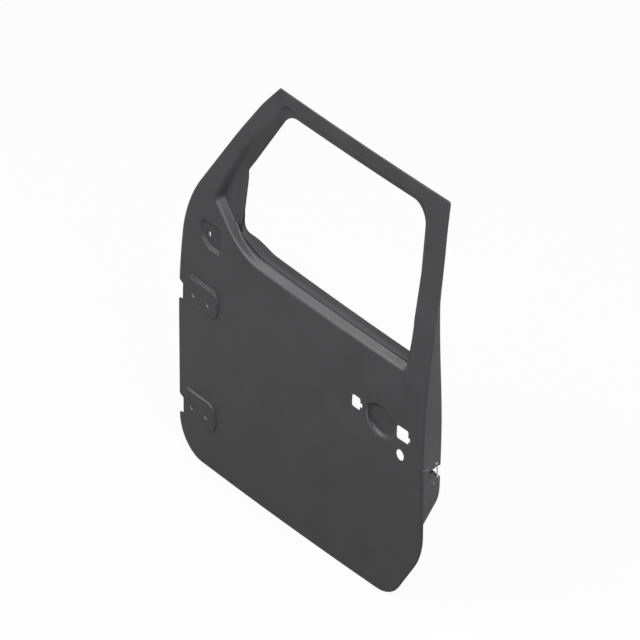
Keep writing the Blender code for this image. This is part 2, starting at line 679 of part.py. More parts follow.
def build_inner_panel():
    """Pan pressing with side walls, window flange, service holes and bead."""
    rim = rounded(shift_sides(OUTLINE, [3.0] * len(OUTLINE)), base=OUTLINE)
    foot, top, ledge = wall_loops()
    near, far = opening_loops()
    creases = [(loop, True) for loop in (foot, top, ledge, near, far) + bead_loops()]
    for line in FRONT_STEP:
        creases.append((np.array([(line, z) for z in np.linspace(130.0, 690.0, 8)]), False))
    for line in REAR_BULGE_X:
        creases.append((np.array([(line, z) for z in (500.0, 570.0, 640.0)]), False))
    opening = rounded(INNER_OPENING)
    x, z, r = SPEAKER_HOLE
    holes = [opening, box_loop(*ACCESS_HOLE), box_loop(*REGULATOR_HOLE), oval(x, z, r, r, 32)]
    x, z, r = HARNESS_HOLE
    holes.append(oval(x, z, r, r, 16))
    holes += [oval(x, z, CLIP_HOLE_R, CLIP_HOLE_R, 8) for x, z in CLIP_HOLES]
    holes += [oval(x, z, NUT_HOLE_R, NUT_HOLE_R, 8) for x, z in NUT_SPOTS]
    flat, tris = fill(rim, holes, creases, 70.0)
    depth = inner_face(flat[:, 0], flat[:, 1])
    verts = np.stack([flat[:, 0], depth, flat[:, 1]], axis=1)
    item = solid("inner_panel", *thicken(verts, [tuple(t) for t in tris], INNER_T),
                 "inner_primer")
    for mark, spot in (("upper", UPPER_HINGE), ("lower", LOWER_HINGE)):
        cut(item, notch_cutter(mark, spot))
    cut(item, prism("cutter_latch_mouth", LATCH_MOUTH, "X", LATCH_FACE_X + 14.0, DOOR_WIDTH - 3.5))
    z0, z1 = LATCH_FACE_Z
    face = [(LATCH_FACE_X, z0 - 1), (DOOR_WIDTH - 1.5, z0), (DOOR_WIDTH - 1.5, z1),
            (LATCH_FACE_X, z1)]
    cut(item, prism("cutter_latch_face", face, "Y", 50.0, 80.0))
    for k, (y, z, r) in enumerate(LATCH_SCREWS):
        cut(item, prism("cutter_screw_%d" % k, oval(y, z, r, r, 10), "X",
                        LATCH_FACE_X + 24.0, LATCH_FACE_X + 40.0))
    y0, y1, z0, z1 = STRAP_SLOT
    cut(item, prism("cutter_strap", box_loop(y0, z0, y1, z1, 3.0), "X", 8.0, 34.0))
    return item


def wall_x(y, z, rear):
    """Place across the door where a side wall of the inner panel has depth y."""
    y, z = np.broadcast_arrays(np.asarray(y, dtype=float), np.asarray(z, dtype=float))
    deep = np.full(y.shape, DOOR_WIDTH - 51.5 if rear else 60.0)
    rim = np.full(y.shape, DOOR_WIDTH - 4.0 if rear else 5.0)
    for _ in range(30):
        mid = (deep + rim) / 2
        far = inner_face(mid, z) > y
        deep = np.where(far, mid, deep)
        rim = np.where(far, rim, mid)
    return (deep + rim) / 2


def build_belt_rails():
    """Stiffening rails along the belt, one on each panel."""
    lift = SKIN_T + WELD_GAP + 0.3
    top_y = SHELF_DEPTH - SKIN_T - WELD_GAP - BRACKET_T
    xs = np.linspace(330.0, OPENING_REAR - 12.0, 10)
    rows = [(602.0, None), (616.0, None), (624.0, 6.0), (638.0, top_y), (659.0, top_y)]
    verts, faces = [], []
    for z, rise in rows:
        base = skin(xs, np.full_like(xs, z))
        depth = base + (lift * 1.02 if rise is None else rise)
        verts.append(np.stack([xs, depth, np.full_like(xs, z)], axis=1))
    faces = grid_faces(len(rows), len(xs))
    solid("belt_outer_rail", *thicken(np.concatenate(verts), faces, BRACKET_T),
          "bracket_primer")
    xs = np.concatenate([np.linspace(200.0, 225.0, 4), np.linspace(236.0, 335.0, 9),
                         np.linspace(400.0, OPENING_REAR - 10.0, 9)])
    ledge = lower_edge(OUTER_OPENING, xs) - LEDGE_DROP
    crest = lower_edge(INNER_OPENING, np.maximum(xs, OPENING_FRONT + 0.5)) - 0.5
    far = belt_strip(xs)
    near = far - (LEDGE_FAR - LEDGE_NEAR) * (0.35 + 0.65 * glide(xs, 223.0, 262.0))
    near = np.maximum(near, recess_depth(xs, ledge) + SKIN_T + 2 * WELD_GAP)
    glass_side = skin(xs, ledge) + near
    rows = [(glass_side, ledge - BELT_LEG), (glass_side, ledge),
            (skin(xs, ledge) + far, ledge), (skin(xs, crest) + far, crest)]
    verts = [np.stack([xs, depth, level], axis=1) for depth, level in rows]
    faces = grid_faces(4, len(xs))
    solid("belt_inner_rail", *thicken(np.concatenate(verts), faces, BRACKET_T),
          "bracket_primer")


def lower_edge(corners, xs):
    """Height of the lower side of an opening at each x."""
    loop = rounded(corners)
    low = []
    for x in xs:
        best = 1e9
        for p, q in zip(loop, np.roll(loop, -1, axis=0)):
            if min(p[0], q[0]) <= x <= max(p[0], q[0]) and p[0] != q[0]:
                best = min(best, p[1] + (q[1] - p[1]) * (x - p[0]) / (q[0] - p[0]))
        low.append(best)
    return np.array(low)


def grid_faces(rows, columns):
    """Quads between neighbouring rows of points, facing outboard."""
    faces = []
    for r in range(rows - 1):
        for c in range(columns - 1):
            a = r * columns + c
            faces.append((a, a + 1, a + columns + 1, a + columns))
    return faces


def build_beam():
    """Side impact tube with an L bracket at each end and two anti-drum pads."""
    (x0, z0), (x1, z1) = BEAM_FRONT, BEAM_REAR
    axis = np.array([x1 - x0, 0.0, z1 - z0])
    axis /= np.linalg.norm(axis)
    across = np.array([-axis[2], 0.0, axis[0]])
    inward = np.array([0.0, 1.0, 0.0])
    steps = 20
    ang = np.arange(steps) * 2 * math.pi / steps
    verts = []
    for x, z in (BEAM_FRONT, BEAM_REAR):
        for r in (BEAM_R, BEAM_R - BEAM_WALL):
            ring = (np.array([x, BEAM_Y, z]) + r * np.cos(ang)[:, None] * inward
                    + r * np.sin(ang)[:, None] * across)
            verts.append(ring)
    verts = np.concatenate(verts)
    faces = []
    for k in range(steps):
        j = (k + 1) % steps
        a, b, c, d = k, steps + k, 2 * steps + k, 3 * steps + k
        p, q, s, t = j, steps + j, 2 * steps + j, 3 * steps + j
        faces += [(a, p, s, c), (q, b, d, t), (a, b, q, p), (c, s, t, d)]
    solid("side_impact_beam", verts, faces, "beam_primer", smooth=40.0)
    seat = BEAM_Y + BEAM_R + WELD_GAP
    reach = seat + 18.0
    lift = WELD_GAP + 0.15
    levels = np.linspace(z0 - 40.0, z0 - 14.0 + 34.0, 4)
    wall = [wall_x(np.full(4, y), levels, False) + lift for y in (reach, seat)]
    columns = [(wall[0], reach), (wall[1], seat), (np.full(4, x0 + 92.0), seat)]
    solid("beam_bracket_front", *thicken(*column_sheet(columns, levels), BRACKET_T),
          "bracket_primer", smooth=30.0)
    levels = np.linspace(z1 - 24.0, z1 + 26.0, 5)
    wall = [wall_x(np.full(5, y), levels, True) - lift - 0.5 for y in (seat, reach)]
    columns = [(np.full(5, x1 - 92.0), seat), (wall[0], seat), (wall[1], reach)]
    solid("beam_bracket_rear", *thicken(*column_sheet(columns, levels), BRACKET_T),
          "bracket_primer", smooth=30.0)
    for k, x in enumerate(PAD_X):
        z = z0 + (z1 - z0) * (x - x0) / (x1 - x0)
        loop = box_loop(x - PAD_SIZE[0] / 2, z - PAD_SIZE[1] / 2, x + PAD_SIZE[0] / 2,
                        z + PAD_SIZE[1] / 2, 6.0)
        flat, tris = fill(loop, [], [], 25.0)
        low = outer_rest(flat[:, 0], flat[:, 1], SKIN_T + WELD_GAP)
        high = np.full(len(flat), BEAM_Y - BEAM_R - WELD_GAP)
        place_pad("mastic_pad_%d" % (k + 1), flat, tris, low, high)


def column_sheet(columns, levels):
    """Sheet whose columns are given by (x at each level, depth)."""
    verts = [np.stack([x, np.full(len(levels), y), levels], axis=1) for x, y in columns]
    faces = []
    rows = len(levels)
    for c in range(len(columns) - 1):
        for r in range(rows - 1):
            a = c * rows + r
            faces.append((a, a + 1, a + rows + 1, a + rows)[::-1])
    return np.concatenate(verts), faces


def place_pad(name, flat, tris, low, high):
    """Soft pad between two depths over one flat outline."""
    count = len(flat)
    near = np.stack([flat[:, 0], low, flat[:, 1]], axis=1)
    back = np.stack([flat[:, 0], high, flat[:, 1]], axis=1)
    edge = {}
    for t in tris:
        for k in range(3):
            edge[(int(t[k]), int(t[(k + 1) % 3]))] = True
    faces = [tuple(t) for t in tris] + [tuple(i + count for i in t[::-1]) for t in tris]
    faces += [(b, a, a + count, b + count) for a, b in edge if (b, a) not in edge]
    solid(name, np.concatenate([near, back]), faces, "pad_mastic")


def build_hinge_parts():
    """Reinforcement and tapped plate behind each hinge boss."""
    for mark, spot in (("upper", UPPER_HINGE), ("lower", LOWER_HINGE)):
        shift = spot[0] - UPPER_HINGE[0]
        x0, x1 = BOSS_FRONT + 13 + shift, BOSS_REAR - 13 + shift
        z0, z1 = spot[1] - BOSS_HALF + 13, spot[1] + BOSS_HALF - 13
        seat = HINGE_PLANE + SKIN_T + WELD_GAP
        loop = box_loop(x0, z0, x1, z1, 20.0)
        holes = [oval(x, z, HINGE_HOLE_R, HINGE_HOLE_R, 12) for x, z in hinge_holes(spot)]

        def pad(flat, seat=seat):
            return np.stack([flat[:, 0], np.full(len(flat), seat), flat[:, 1]], axis=1)

        drilled_plate(mark + "_hinge_reinforcement", loop, holes, pad, PLATE_T,
                      "plate_primer")
        level = seat + PLATE_T + WELD_GAP
        centres = hinge_holes(spot)
        loop = box_loop(centres[0][0] - 15, centres[0][1] - 15, centres[1][0] + 15,
                        centres[1][1] + 15, 5.0)
        holes = [oval(x, z, 4.5, 4.5, 12) for x, z in centres]

        def block(flat, level=level):
            return np.stack([flat[:, 0], np.full(len(flat), level), flat[:, 1]], axis=1)

        drilled_plate(mark + "_hinge_tapped_plate", loop, holes, block, 6.0, "plate_primer")


def build_wall_plates():
    """Latch plate inside the rear wall and check strap plate inside the front one."""
    lift = WELD_GAP + 0.15
    mouth = rounded([(26.0, 363.0, 2.0), (55.0, 372.0, 2.0), (55.0, 409.0, 2.0),
                     (34.0, 405.0, 2.0), (26.0, 398.0, 2.0)])
    loop = rounded([(8.0, 352.0, 4.0), (59.0, 352.0, 4.0), (59.0, 432.0, 4.0),
                    (8.0, 432.0, 4.0)])
    taps = [oval(y, z, NUT_BORE, NUT_BORE, 8) for y, z, _ in LATCH_SCREWS[:3]]
    flat, tris = fill(loop, [mouth] + taps, [], 30.0)
    x = wall_x(flat[:, 0], flat[:, 1], True) - lift
    verts = np.stack([x, flat[:, 0], flat[:, 1]], axis=1)
    solid("latch_reinforcement", *thicken(verts, [tuple(t) for t in tris], PLATE_T),
          "plate_primer")
    y0, y1, z0, z1 = STRAP_SLOT
    loop = box_loop(9.0, z0 - 22.0, 46.0, z1 + 34.0, 5.0)
    flat, tris = fill(loop, [box_loop(y0 - 2, z0 - 2, y1 + 2, z1 + 2, 3.0)], [], 30.0)
    x = wall_x(flat[:, 0], flat[:, 1], False) + lift
    verts = np.stack([x, flat[:, 0], flat[:, 1]], axis=1)
    solid("check_strap_reinforcement",
          *thicken(verts, [tuple(t[::-1]) for t in tris], PLATE_T), "plate_primer")


def build_skin_plates():
    """Plates that back the handle holes and the mirror pocket."""
    def behind(flat):
        depth = outer_rest(flat[:, 0], flat[:, 1], SKIN_T + WELD_GAP + 0.5)
        return np.stack([flat[:, 0], depth, flat[:, 1]], axis=1)

    def backed(name, loop, holes, creases, pitch):
        flat, tris = fill(loop, holes, creases, pitch)
        solid(name, *thicken(behind(flat), [tuple(t) for t in tris], BRACKET_T),
              "bracket_primer")

    x, z, rx, rz = DISH
    grown = []
    for corners in (HANDLE_HOLE_FRONT, HANDLE_HOLE_REAR):
        xs, zs = [c[0] for c in corners], [c[1] for c in corners]
        grown.append(box_loop(min(xs) - 4, min(zs) - 4, max(xs) + 4, max(zs) + 4, 9.0))
    lock = oval(LOCK_HOLE[0], LOCK_HOLE[1], LOCK_HOLE[2] + 4, LOCK_HOLE[2] + 4, 20)
    dish = oval(x, z, rx - 1.0, rz + 5.0, 24)
    loop = box_loop(HANDLE_X - 135.0, 392.0, HANDLE_X + 141.0, 548.0, 18.0)
    backed("handle_reinforcement", loop, grown + [lock, dish], [], 45.0)
    x, z, rx, rz = MIRROR_HOLE
    loop = rounded(shift_sides(MIRROR_POCKET, [10.0, 9.0, 18.0, 10.0]))
    backed("mirror_reinforcement", loop, [oval(x, z, rx + 3, rz + 3, 14)], [], 30.0)


def build_channels():
    """Lower glass channels with the brackets that tie them to the inner panel."""
    near, far = CHANNEL_Y, CHANNEL_Y + CHANNEL_W
    front = [(OPENING_FRONT + CHANNEL_DEPTH, near), (OPENING_FRONT, near),
             (OPENING_FRONT, far), (OPENING_FRONT + CHANNEL_DEPTH, far)]
    prism("front_glass_channel", strip_section(front, CHANNEL_T), "Z", 330.0, 655.0,
          "bracket_primer")
    rear_x = OPENING_REAR + CHANNEL_REAR
    rear = [(rear_x - CHANNEL_DEPTH, far), (rear_x, far), (rear_x, near),
            (rear_x - CHANNEL_DEPTH, near)]
    prism("rear_glass_channel", strip_section(rear, -CHANNEL_T), "Z", 506.0, 640.0,
          "bracket_primer")
    foot = FACE_Y - WELD_GAP
    x = OPENING_FRONT - CHANNEL_T - WELD_GAP
    path = [(x, near + 2), (x, foot), (x - 26.0, foot)]
    prism("front_channel_bracket", strip_section(path, BRACKET_T), "Z", 345.0, 372.0,
          "bracket_primer")
    x = rear_x + WELD_GAP
    levels = np.array([560.0, 573.0, 586.0])
    lift = BRACKET_T + WELD_GAP + 0.15
    wall = [wall_x(np.full(3, y), levels, True) - lift for y in (far - 2, far + 8)]
    columns = [(np.full(3, x), near + 2), (np.full(3, x), far - 2), (wall[0], far - 2),
               (wall[1], far + 8)]
    solid("rear_channel_bracket", *thicken(*column_sheet(columns, levels), -BRACKET_T),
          "bracket_primer", smooth=30.0)


def build_inner_fittings():
    """Pull handle bracket and weld nuts on the hidden side of the inner panel."""
    seat = FACE_Y - WELD_GAP
    path = [(596.0, seat), (622.0, seat), (632.0, seat - 16), (720.0, seat - 16),
            (730.0, seat), (756.0, seat)]
    prism("pull_handle_bracket", strip_section(path, -BRACKET_T), "Z", 505.0, 540.0,
          "bracket_primer")
    for k, (x, z) in enumerate(NUT_SPOTS):
        hexagon = oval(x, z, NUT_R, NUT_R, 6)
        flat, tris = fill(hexagon, [oval(x, z, NUT_BORE, NUT_BORE, 12)], [], 50.0)

        def seat_nut(spots_2d):
            depth = np.full(len(spots_2d), seat - NUT_H)
            return np.stack([spots_2d[:, 0], depth, spots_2d[:, 1]], axis=1)

        verts, faces = thicken(seat_nut(flat), [tuple(t) for t in tris], NUT_H)
        solid("weld_nut_%d" % (k + 1), verts, faces, "nut_zinc")


clear_scene()
build_outer_panel()
build_inner_panel()
build_belt_rails()
build_beam()
build_hinge_parts()
build_wall_plates()
build_skin_plates()
build_channels()
build_inner_fittings()
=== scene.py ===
"""Looks of a bare front car door shell: pressed sheet steel in dark dip primer.

Working sizes are door millimetres: X from the hinge edge to the latch edge, Y
from the outer face into the car, Z up. They are turned into metres, measured
from the upper hinge seat, when a mesh is made, which is the frame of the CAD.
"""
import math

import bpy
import numpy as np
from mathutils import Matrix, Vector
from mathutils.geometry import delaunay_2d_cdt


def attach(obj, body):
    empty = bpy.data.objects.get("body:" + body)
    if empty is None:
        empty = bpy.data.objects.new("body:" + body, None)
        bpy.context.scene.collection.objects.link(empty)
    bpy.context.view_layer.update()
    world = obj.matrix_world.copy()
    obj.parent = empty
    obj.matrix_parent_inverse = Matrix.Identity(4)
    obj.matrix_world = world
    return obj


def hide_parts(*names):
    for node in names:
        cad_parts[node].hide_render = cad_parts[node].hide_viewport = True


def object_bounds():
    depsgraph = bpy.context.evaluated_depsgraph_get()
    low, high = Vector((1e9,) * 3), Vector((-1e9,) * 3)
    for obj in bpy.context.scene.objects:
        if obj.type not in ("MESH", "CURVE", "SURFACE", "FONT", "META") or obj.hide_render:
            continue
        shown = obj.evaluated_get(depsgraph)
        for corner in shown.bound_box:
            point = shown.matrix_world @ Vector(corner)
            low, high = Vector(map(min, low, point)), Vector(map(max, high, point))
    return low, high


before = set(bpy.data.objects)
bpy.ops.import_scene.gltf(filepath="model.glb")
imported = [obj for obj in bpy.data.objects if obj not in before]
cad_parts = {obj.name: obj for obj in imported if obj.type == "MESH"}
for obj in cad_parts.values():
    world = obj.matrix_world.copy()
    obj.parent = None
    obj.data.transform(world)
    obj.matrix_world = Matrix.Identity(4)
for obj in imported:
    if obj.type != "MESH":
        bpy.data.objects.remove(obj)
CAD_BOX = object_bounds()

# Sheet, joints and the folded edge
SKIN_T = 1.0
INNER_T = 1.0
BRACKET_T = 1.6
WELD_GAP = 0.3
HEM_FOLD = 7.5
HEM_RADIUS = 1.8
HEM_TURN = (-60.0, -30.0, 0.0, 30.0, 60.0, 90.0)    # angles round the fold, degrees
HEM_INSET = 3.0         # edge of the inner panel, from the outline

# Outer face
DOOR_WIDTH = 1011.5
CROWN = 8.0
TUMBLE_START = 400.0
TUMBLE_END = 660.0
TUMBLE_SLOPE = math.tan(math.radians(7.5))
ROLL_WIDTH = 9.0        # strip beside the hem where the face starts to turn
ROLL_DROP = 0.9
ROLL_REAR = 3.2         # extra turn along the lower rear edge
ROLL_REAR_X = (950.0, 990.0)
ROLL_REAR_FOOT = (150.0, 240.0)
ROLL_REAR_HEAD = (470.0, 640.0)
ROLL_ROWS = [1.2, 2.8, 4.8, 7.2, 11.0]

# Outline corners as (x, z, radius), walked anticlockwise from the front foot
OUTLINE = [(0.0, -5.0, 97.0), (890.0, -1.0, 107.0), (DOOR_WIDTH, 174.0, 170.0),
           (DOOR_WIDTH, 1136.0, 8.0), (329.0, 1140.0, 4.0), (266.0, 1071.0, 500.0),
           (183.5, 960.5, 1500.0), (3.5, 700.0, 286.0), (-0.5, 380.0, 900.0)]

# Window recess: border on the skin, border on its floor, and its depths. A pair of
# bends gives how far each bend of a pressed wall is rounded, at its top and floor.
RECESS_TOP = [(934.0, 647.0, 28.0), (938.0, 1101.0, 58.0), (352.0, 1107.0, 40.0),
              (222.0, 950.0, 500.0), (117.0, 751.0, 16.0), (262.0, 651.0, 240.0)]
RECESS_FLOOR = [(928.0, 660.5, 22.0), (932.0, 1095.0, 52.0), (356.0, 1102.0, 36.0),
                (226.0, 937.0, 500.0), (134.0, 760.0, 5.0), (252.0, 666.0, 200.0)]
RECESS_BENDS = (6.0, 2.4)
RECESS_LEVELS = [660.0, 725.0, 900.0, 1060.0]
RECESS_DEPTHS = [15.0, 18.0, 20.0, 11.0]
PILLAR_LEVELS = [770.0, 925.0, 1000.0, 1060.0]
PILLAR_WALL = [1.0, 0.45, 0.25, 0.05]   # part of the depth that is wall up the pillar
HEADER_X = (330.0, 372.0)               # where the pillar's slope ends in the header
SAIL_STEP_X = 190.0
SAIL_STEP_HALF = 4
SAIL_STEP = 3.5
SAIL_REAR = (240.0, 12.0)               # end of the stepped patch and its fade
SAIL_FOOT = (690.0, 712.0)
SAIL_HEAD = (870.0, 30.0)

# Window opening of the two panels
OPENING_FRONT = 216.0
OPENING_REAR = 912.0
OPENING_TOP = [(921.5, 1081.0, 54.0), (363.0, 1082.0, 62.0), (OPENING_FRONT, 869.0, 12.0)]
BELT_OUTER = (667.2, 661.2)     # at the front and at the rear of the glass slot
BELT_INNER = (684.5, 675.5)
OUTER_OPENING = [(OPENING_REAR, BELT_OUTER[1], 8.0)] + OPENING_TOP + [
    (OPENING_FRONT, 724.0, 2.0), (196.0, 714.5, 1.5), (218.0, 698.0, 30.0),
    (262.0, 678.0, 80.0), (310.0, BELT_OUTER[0], 120.0)]
INNER_OPENING = [(OPENING_REAR, BELT_INNER[1], 10.0)] + OPENING_TOP + [
    (OPENING_FRONT, 707.0, 34.0), (262.0, 694.5, 60.0), (330.0, BELT_INNER[0], 150.0)]
INNER_LIP = [4.0, 2.0, 2.6, 0.0, 0.0, 0.0, 0.0]     # inner panel past the outer one
BELT_FLANGE = 20.0
BELT_FOLD = [(0.6, 0.5), (1.6, 0.5), (2.2, -0.1), (2.2, -BELT_FLANGE)]
BELT_FOLD_FRONT = 224.0
BELT_FOLD_TOP = 697.0
LEDGE_NEAR = 26.0
LEDGE_FAR = 35.5
LEDGE_RISE = 0.3
LEG_LEAN = (4.5, 9.5)    # slant of the rail below the ledge, across and down
BELT_LEG = 30.0
RAIL_X = (200.0, 340.0, 346.0, 902.0)   # finely stepped front part, then the rest
RAIL_WIDEN_X = (223.0, 262.0)
RAIL_FRONT_SHARE = 0.35                 # width of the ledge at its front end
RAIL_BEND = (2.0, 0.6)
STRIP_START = (22.9, 225.0, 262.0)      # depth at the front end, and where it grows

# Hinge bosses and the notches beside them
HINGE_PLANE = -8.0
BOSS_FRONT = 40.0
BOSS_REAR = 178.0
BOSS_HALF = 41.5
BOSS_RADII = (14.0, 38.0)
BOSS_SLOPE = [3.5, 3.0, 3.0, 3.0]
BOSS_BENDS = (1.8, 1.8)
UPPER_HINGE = (111.0, 472.0)
LOWER_HINGE = (100.0, 144.0)
HINGE_HOLES = (-38.0, 23.0)
HINGE_HOLE_DROP = -5.0
HINGE_HOLE_R = 6.5
NOTCH_DEPTH = 18.5
NOTCH_HALF = 21.5
NOTCH_SPLAY = 11.0
NOTCH_DROP = -22.0
NOTCH_MOUTH = -12.0     # where the splay ends, outside the front edge
NOTCH_CUT_Y = (-20.0, 30.0)

# Mirror pocket, handle dish, and the holes for handle and lock
MIRROR_POCKET = [(84.0, 616.0, 52.0), (168.0, 614.0, 10.0), (166.0, 684.0, 22.0),
                 (68.0, 684.0, 18.0)]
MIRROR_SLOPE = [5.0, 4.0, 12.0, 5.0]
MIRROR_BENDS = (1.6, 1.6)
MIRROR_DEPTH = 6.0
MIRROR_LEAN = 3.0
MIRROR_LEAN_X = (72.0, 165.0)
MIRROR_HOLE = (104.0, 646.5, 7.5, 8.5)
DISH = (843.0, 477.5, 61.0, 44.0)
DISH_WALL = 11.0
DISH_DEPTH = 9.5
DISH_BENDS = (3.5, 3.5)
HANDLE_HOLE_FRONT = [(732.0, 469.0, 6.0), (764.0, 469.0, 4.0), (764.0, 479.0, 1.5),
                     (773.0, 479.0, 1.5), (773.0, 490.0, 1.5), (765.0, 490.0, 1.5),
                     (765.0, 502.0, 6.0), (732.0, 502.0, 8.0)]
HANDLE_HOLE_REAR = [(910.0, 464.0, 6.0), (956.0, 464.0, 4.0), (956.0, 472.0, 1.5),
                    (962.0, 472.0, 1.5), (962.0, 483.0, 1.5), (955.0, 483.0, 1.5),
                    (955.0, 500.0, 5.0), (910.0, 500.0, 8.0)]
HANDLE_SEATS = [(722.0, 459.0, 783.0, 512.0), (900.0, 454.0, 972.0, 510.0)]
HANDLE_SEAT_DEPTH = 0.5
HANDLE_SEAT_R = 12.0
HANDLE_SEAT_SLOPE = 4
HANDLE_SEAT_BENDS = (1.5, 1.5)
LOCK_HOLE = (926.0, 422.0, 14.5)

# Inner panel
FACE_Y = 60.0
FRONT_FACE_Y = 50.0
FRONT_STEP = (94.0, 114.0)
REAR_BULGE = 7.0
REAR_BULGE_Z = 530.0
REAR_BULGE_SPREAD = 170.0
REAR_BULGE_X = (880.0, 940.0)
FACE_LEDGE = 14.0
FRAME_EDGE = 16.0
FRAME_EDGE_DROP = 5.0
FRAME_EDGE_Z = (950.0, 1100.0)
FRAME_FACE = 25.0
FRAME_FLANGE = 13.0
FLANGE_SLOPE = 11.0
FLANGE_BENDS = (2.4, 2.4)
BELT_RELIEF = 1.8                       # extra room behind the rail's front end
BELT_RELIEF_X = (300.0, 340.0)
BELT_BLEND_X = (300.0, 800.0)
BELT_BLEND_Z = (738.0, 38.0)            # level at the front, and its fall to the rear
BELT_BLEND_WIDE = (14.0, 46.0)          # height at the front, and its growth
WALL_FOOT = [26.0, 44.0, 10.0, 10.5, 10.5, 10.5, 10.5, 16.0, 16.0]
WALL_TOP = [52.0, 91.0, 12.5, 15.0, 15.0, 15.0, 15.0, 24.0, 24.0]
WALL_FOOT_R = [85.0, 95.0, 120.0, 4.0, 3.0, 500.0, 1500.0, 270.0, 900.0]
WALL_TOP_R = [75.0, 95.0, 85.0, 4.0, 3.0, 500.0, 1500.0, 260.0, 900.0]
WALL_TOP_BEND = 6.0
WALL_FOOT_BEND = 3.0
ACCESS_HOLE = (600.0, 318.0, 905.0, 470.0, 35.0)
REGULATOR_HOLE = (300.0, 380.0, 552.0, 600.0, 42.0)
SPEAKER_HOLE = (235.0, 205.0, 82.0)
HARNESS_HOLE = (71.0, 620.0, 17.0)
CLIP_HOLE_R = 2.7
CLIP_HOLES = [(140.0, 330.0), (140.0, 560.0), (400.0, 90.0), (600.0, 90.0), (790.0, 110.0),
              (400.0, 345.0), (576.0, 490.0), (700.0, 560.0), (860.0, 560.0), (940.0, 620.0)]
NUT_HOLE_R = 3.2
NUT_SPOTS = [(270.0, 640.0), (600.0, 640.0), (575.0, 430.0), (275.0, 345.0)]
BEAD = (380.0, 262.0, 800.0, 15.0)
BEAD_HEIGHT = 6.0
BEAD_SLOPE = 7.0
BEAD_BENDS = (2.5, 2.5)
LATCH_MOUTH = [(29.0, 367.0), (90.0, 381.0), (90.0, 409.0), (64.0, 407.0), (36.0, 401.0),
               (29.0, 395.0)]
LATCH_FACE_X = 966.0
LATCH_FACE_Z = (378.0, 407.0)
LATCH_SCREWS = [(54.0, 414.5, 3.6), (24.5, 409.0, 3.6), (44.0, 362.5, 3.6),
                (14.0, 407.0, 2.2)]
LATCH_MOUTH_X = (LATCH_FACE_X + 14.0, DOOR_WIDTH - 3.5)
LATCH_SCREW_X = (LATCH_FACE_X + 24.0, LATCH_FACE_X + 40.0)
LATCH_STEP_X = (LATCH_FACE_X, DOOR_WIDTH - 1.5)
LATCH_STEP_Y = (50.0, 80.0)
STRAP_SLOT = (20.0, 36.0, 352.0, 372.0)
STRAP_SLOT_R = 3.0
STRAP_SLOT_X = (8.0, 34.0)
LIP_BEND = 3.0
LIP_DEPTH = 20.0
LIP_RISE = 6.0
LIP_GAP = 0.4

# Meshes
GRID = 9.0              # pitch of the free points on the wide panels
CHORD_GAP = 0.02        # furthest that a chord of an arc lies from it
POINT_GAP = 0.7         # closest that a free point comes to a side or its like
COARSE = 20.0           # pitch of the loops that only distances are taken from
FOLD_PULL = 0.15        # keeps the back of a sheet short at tight folds
CREASE = 38.0           # folds sharper than this many degrees stay creased

# Finishes: waves in a metre, so 110 mm clouds, 2.4 mm grain, 5 mm ripple and so on
PRIMER_IOR = 1.2
# Plates whose primer is written much paler than it is: painted light on the shaded inside seen
# through the latch mouth and the other openings
PAINTED_LIGHT_PLATES = ("latch_reinforcement", "check_strap_reinforcement",
               "upper_hinge_reinforcement", "lower_hinge_reinforcement")
CLOUD, GRAIN, RIPPLE = 9.0, 420.0, 200.0
ZINC_GRAIN = 500.0
MASTIC_LUMPS = 260.0

# Camera: the photograph's view
AZIMUTH, ELEVATION = 54.0, 30.5
DISTANCE = 25.84
VIEW_POINT = (0.4838, 0.008, 0.1692)
LENS, SENSOR, CLIP_END = 600.0, 36.0, 100.0

# Stage
FLOOR_HALF = 14.0
FLOOR_GLOW = 0.93
LAMP_AIM = (0.4, 0.0, 0.1)
LAMPS = [("overhead", (1.6, -0.7, 3.1), (2.0, 2.0), 100.0),
         ("left_panel", (-3.0, -2.75, 2.9), (3.4, 2.2), 405.0),
         ("far_panel", (-3.0, 1.8, 2.9), (3.0, 2.4), 120.0),
         ("back_panel", (1.4, 4.2, 2.2), (3.0, 2.0), 230.0),
         ("rear_panel", (4.0, -0.7, 2.2), (2.4, 2.4), 500.0),
         ("front_panel", (-0.5, -3.4, 2.3), (2.8, 1.8), 290.0)]

# Row frame: the middle of the upper hinge seat is the origin
ORIGIN = np.array([UPPER_HINGE[0], HINGE_PLANE, UPPER_HINGE[1]])
MM = 0.001


def shift_sides(corners, insets, radii=None):
    """Corner loop with side i, from corner i to i + 1, moved inwards by insets[i].

    Each new corner is where its two moved sides meet. Its radius is the old one
    less the mean inset on a convex corner, plus it on a hollow one.
    """
    pts = np.array([c[:2] for c in corners])
    inset = np.array(insets, dtype=float)
    step = np.roll(pts, -1, axis=0) - pts
    step /= np.linalg.norm(step, axis=1)[:, None]
    normal = np.stack([-step[:, 1], step[:, 0]], axis=1)
    level = np.sum(normal * pts, axis=1) + inset
    before = np.roll(normal, 1, axis=0)
    lhs = np.stack([before, normal], axis=1)
    rhs = np.stack([np.roll(inset, 1) + np.sum(before * pts, axis=1), level], axis=1)
    spots = np.linalg.solve(lhs, rhs[:, :, None])[:, :, 0]
    back = np.roll(step, 1, axis=0)
    convex = back[:, 0] * step[:, 1] - back[:, 1] * step[:, 0] > 0
    drop = 0.5 * (inset + np.roll(inset, 1))
    if radii is None:
        radii = np.maximum([c[2] for c in corners] - np.where(convex, drop, -drop), 0.6)
    return [(p[0], p[1], r) for p, r in zip(spots, radii)]


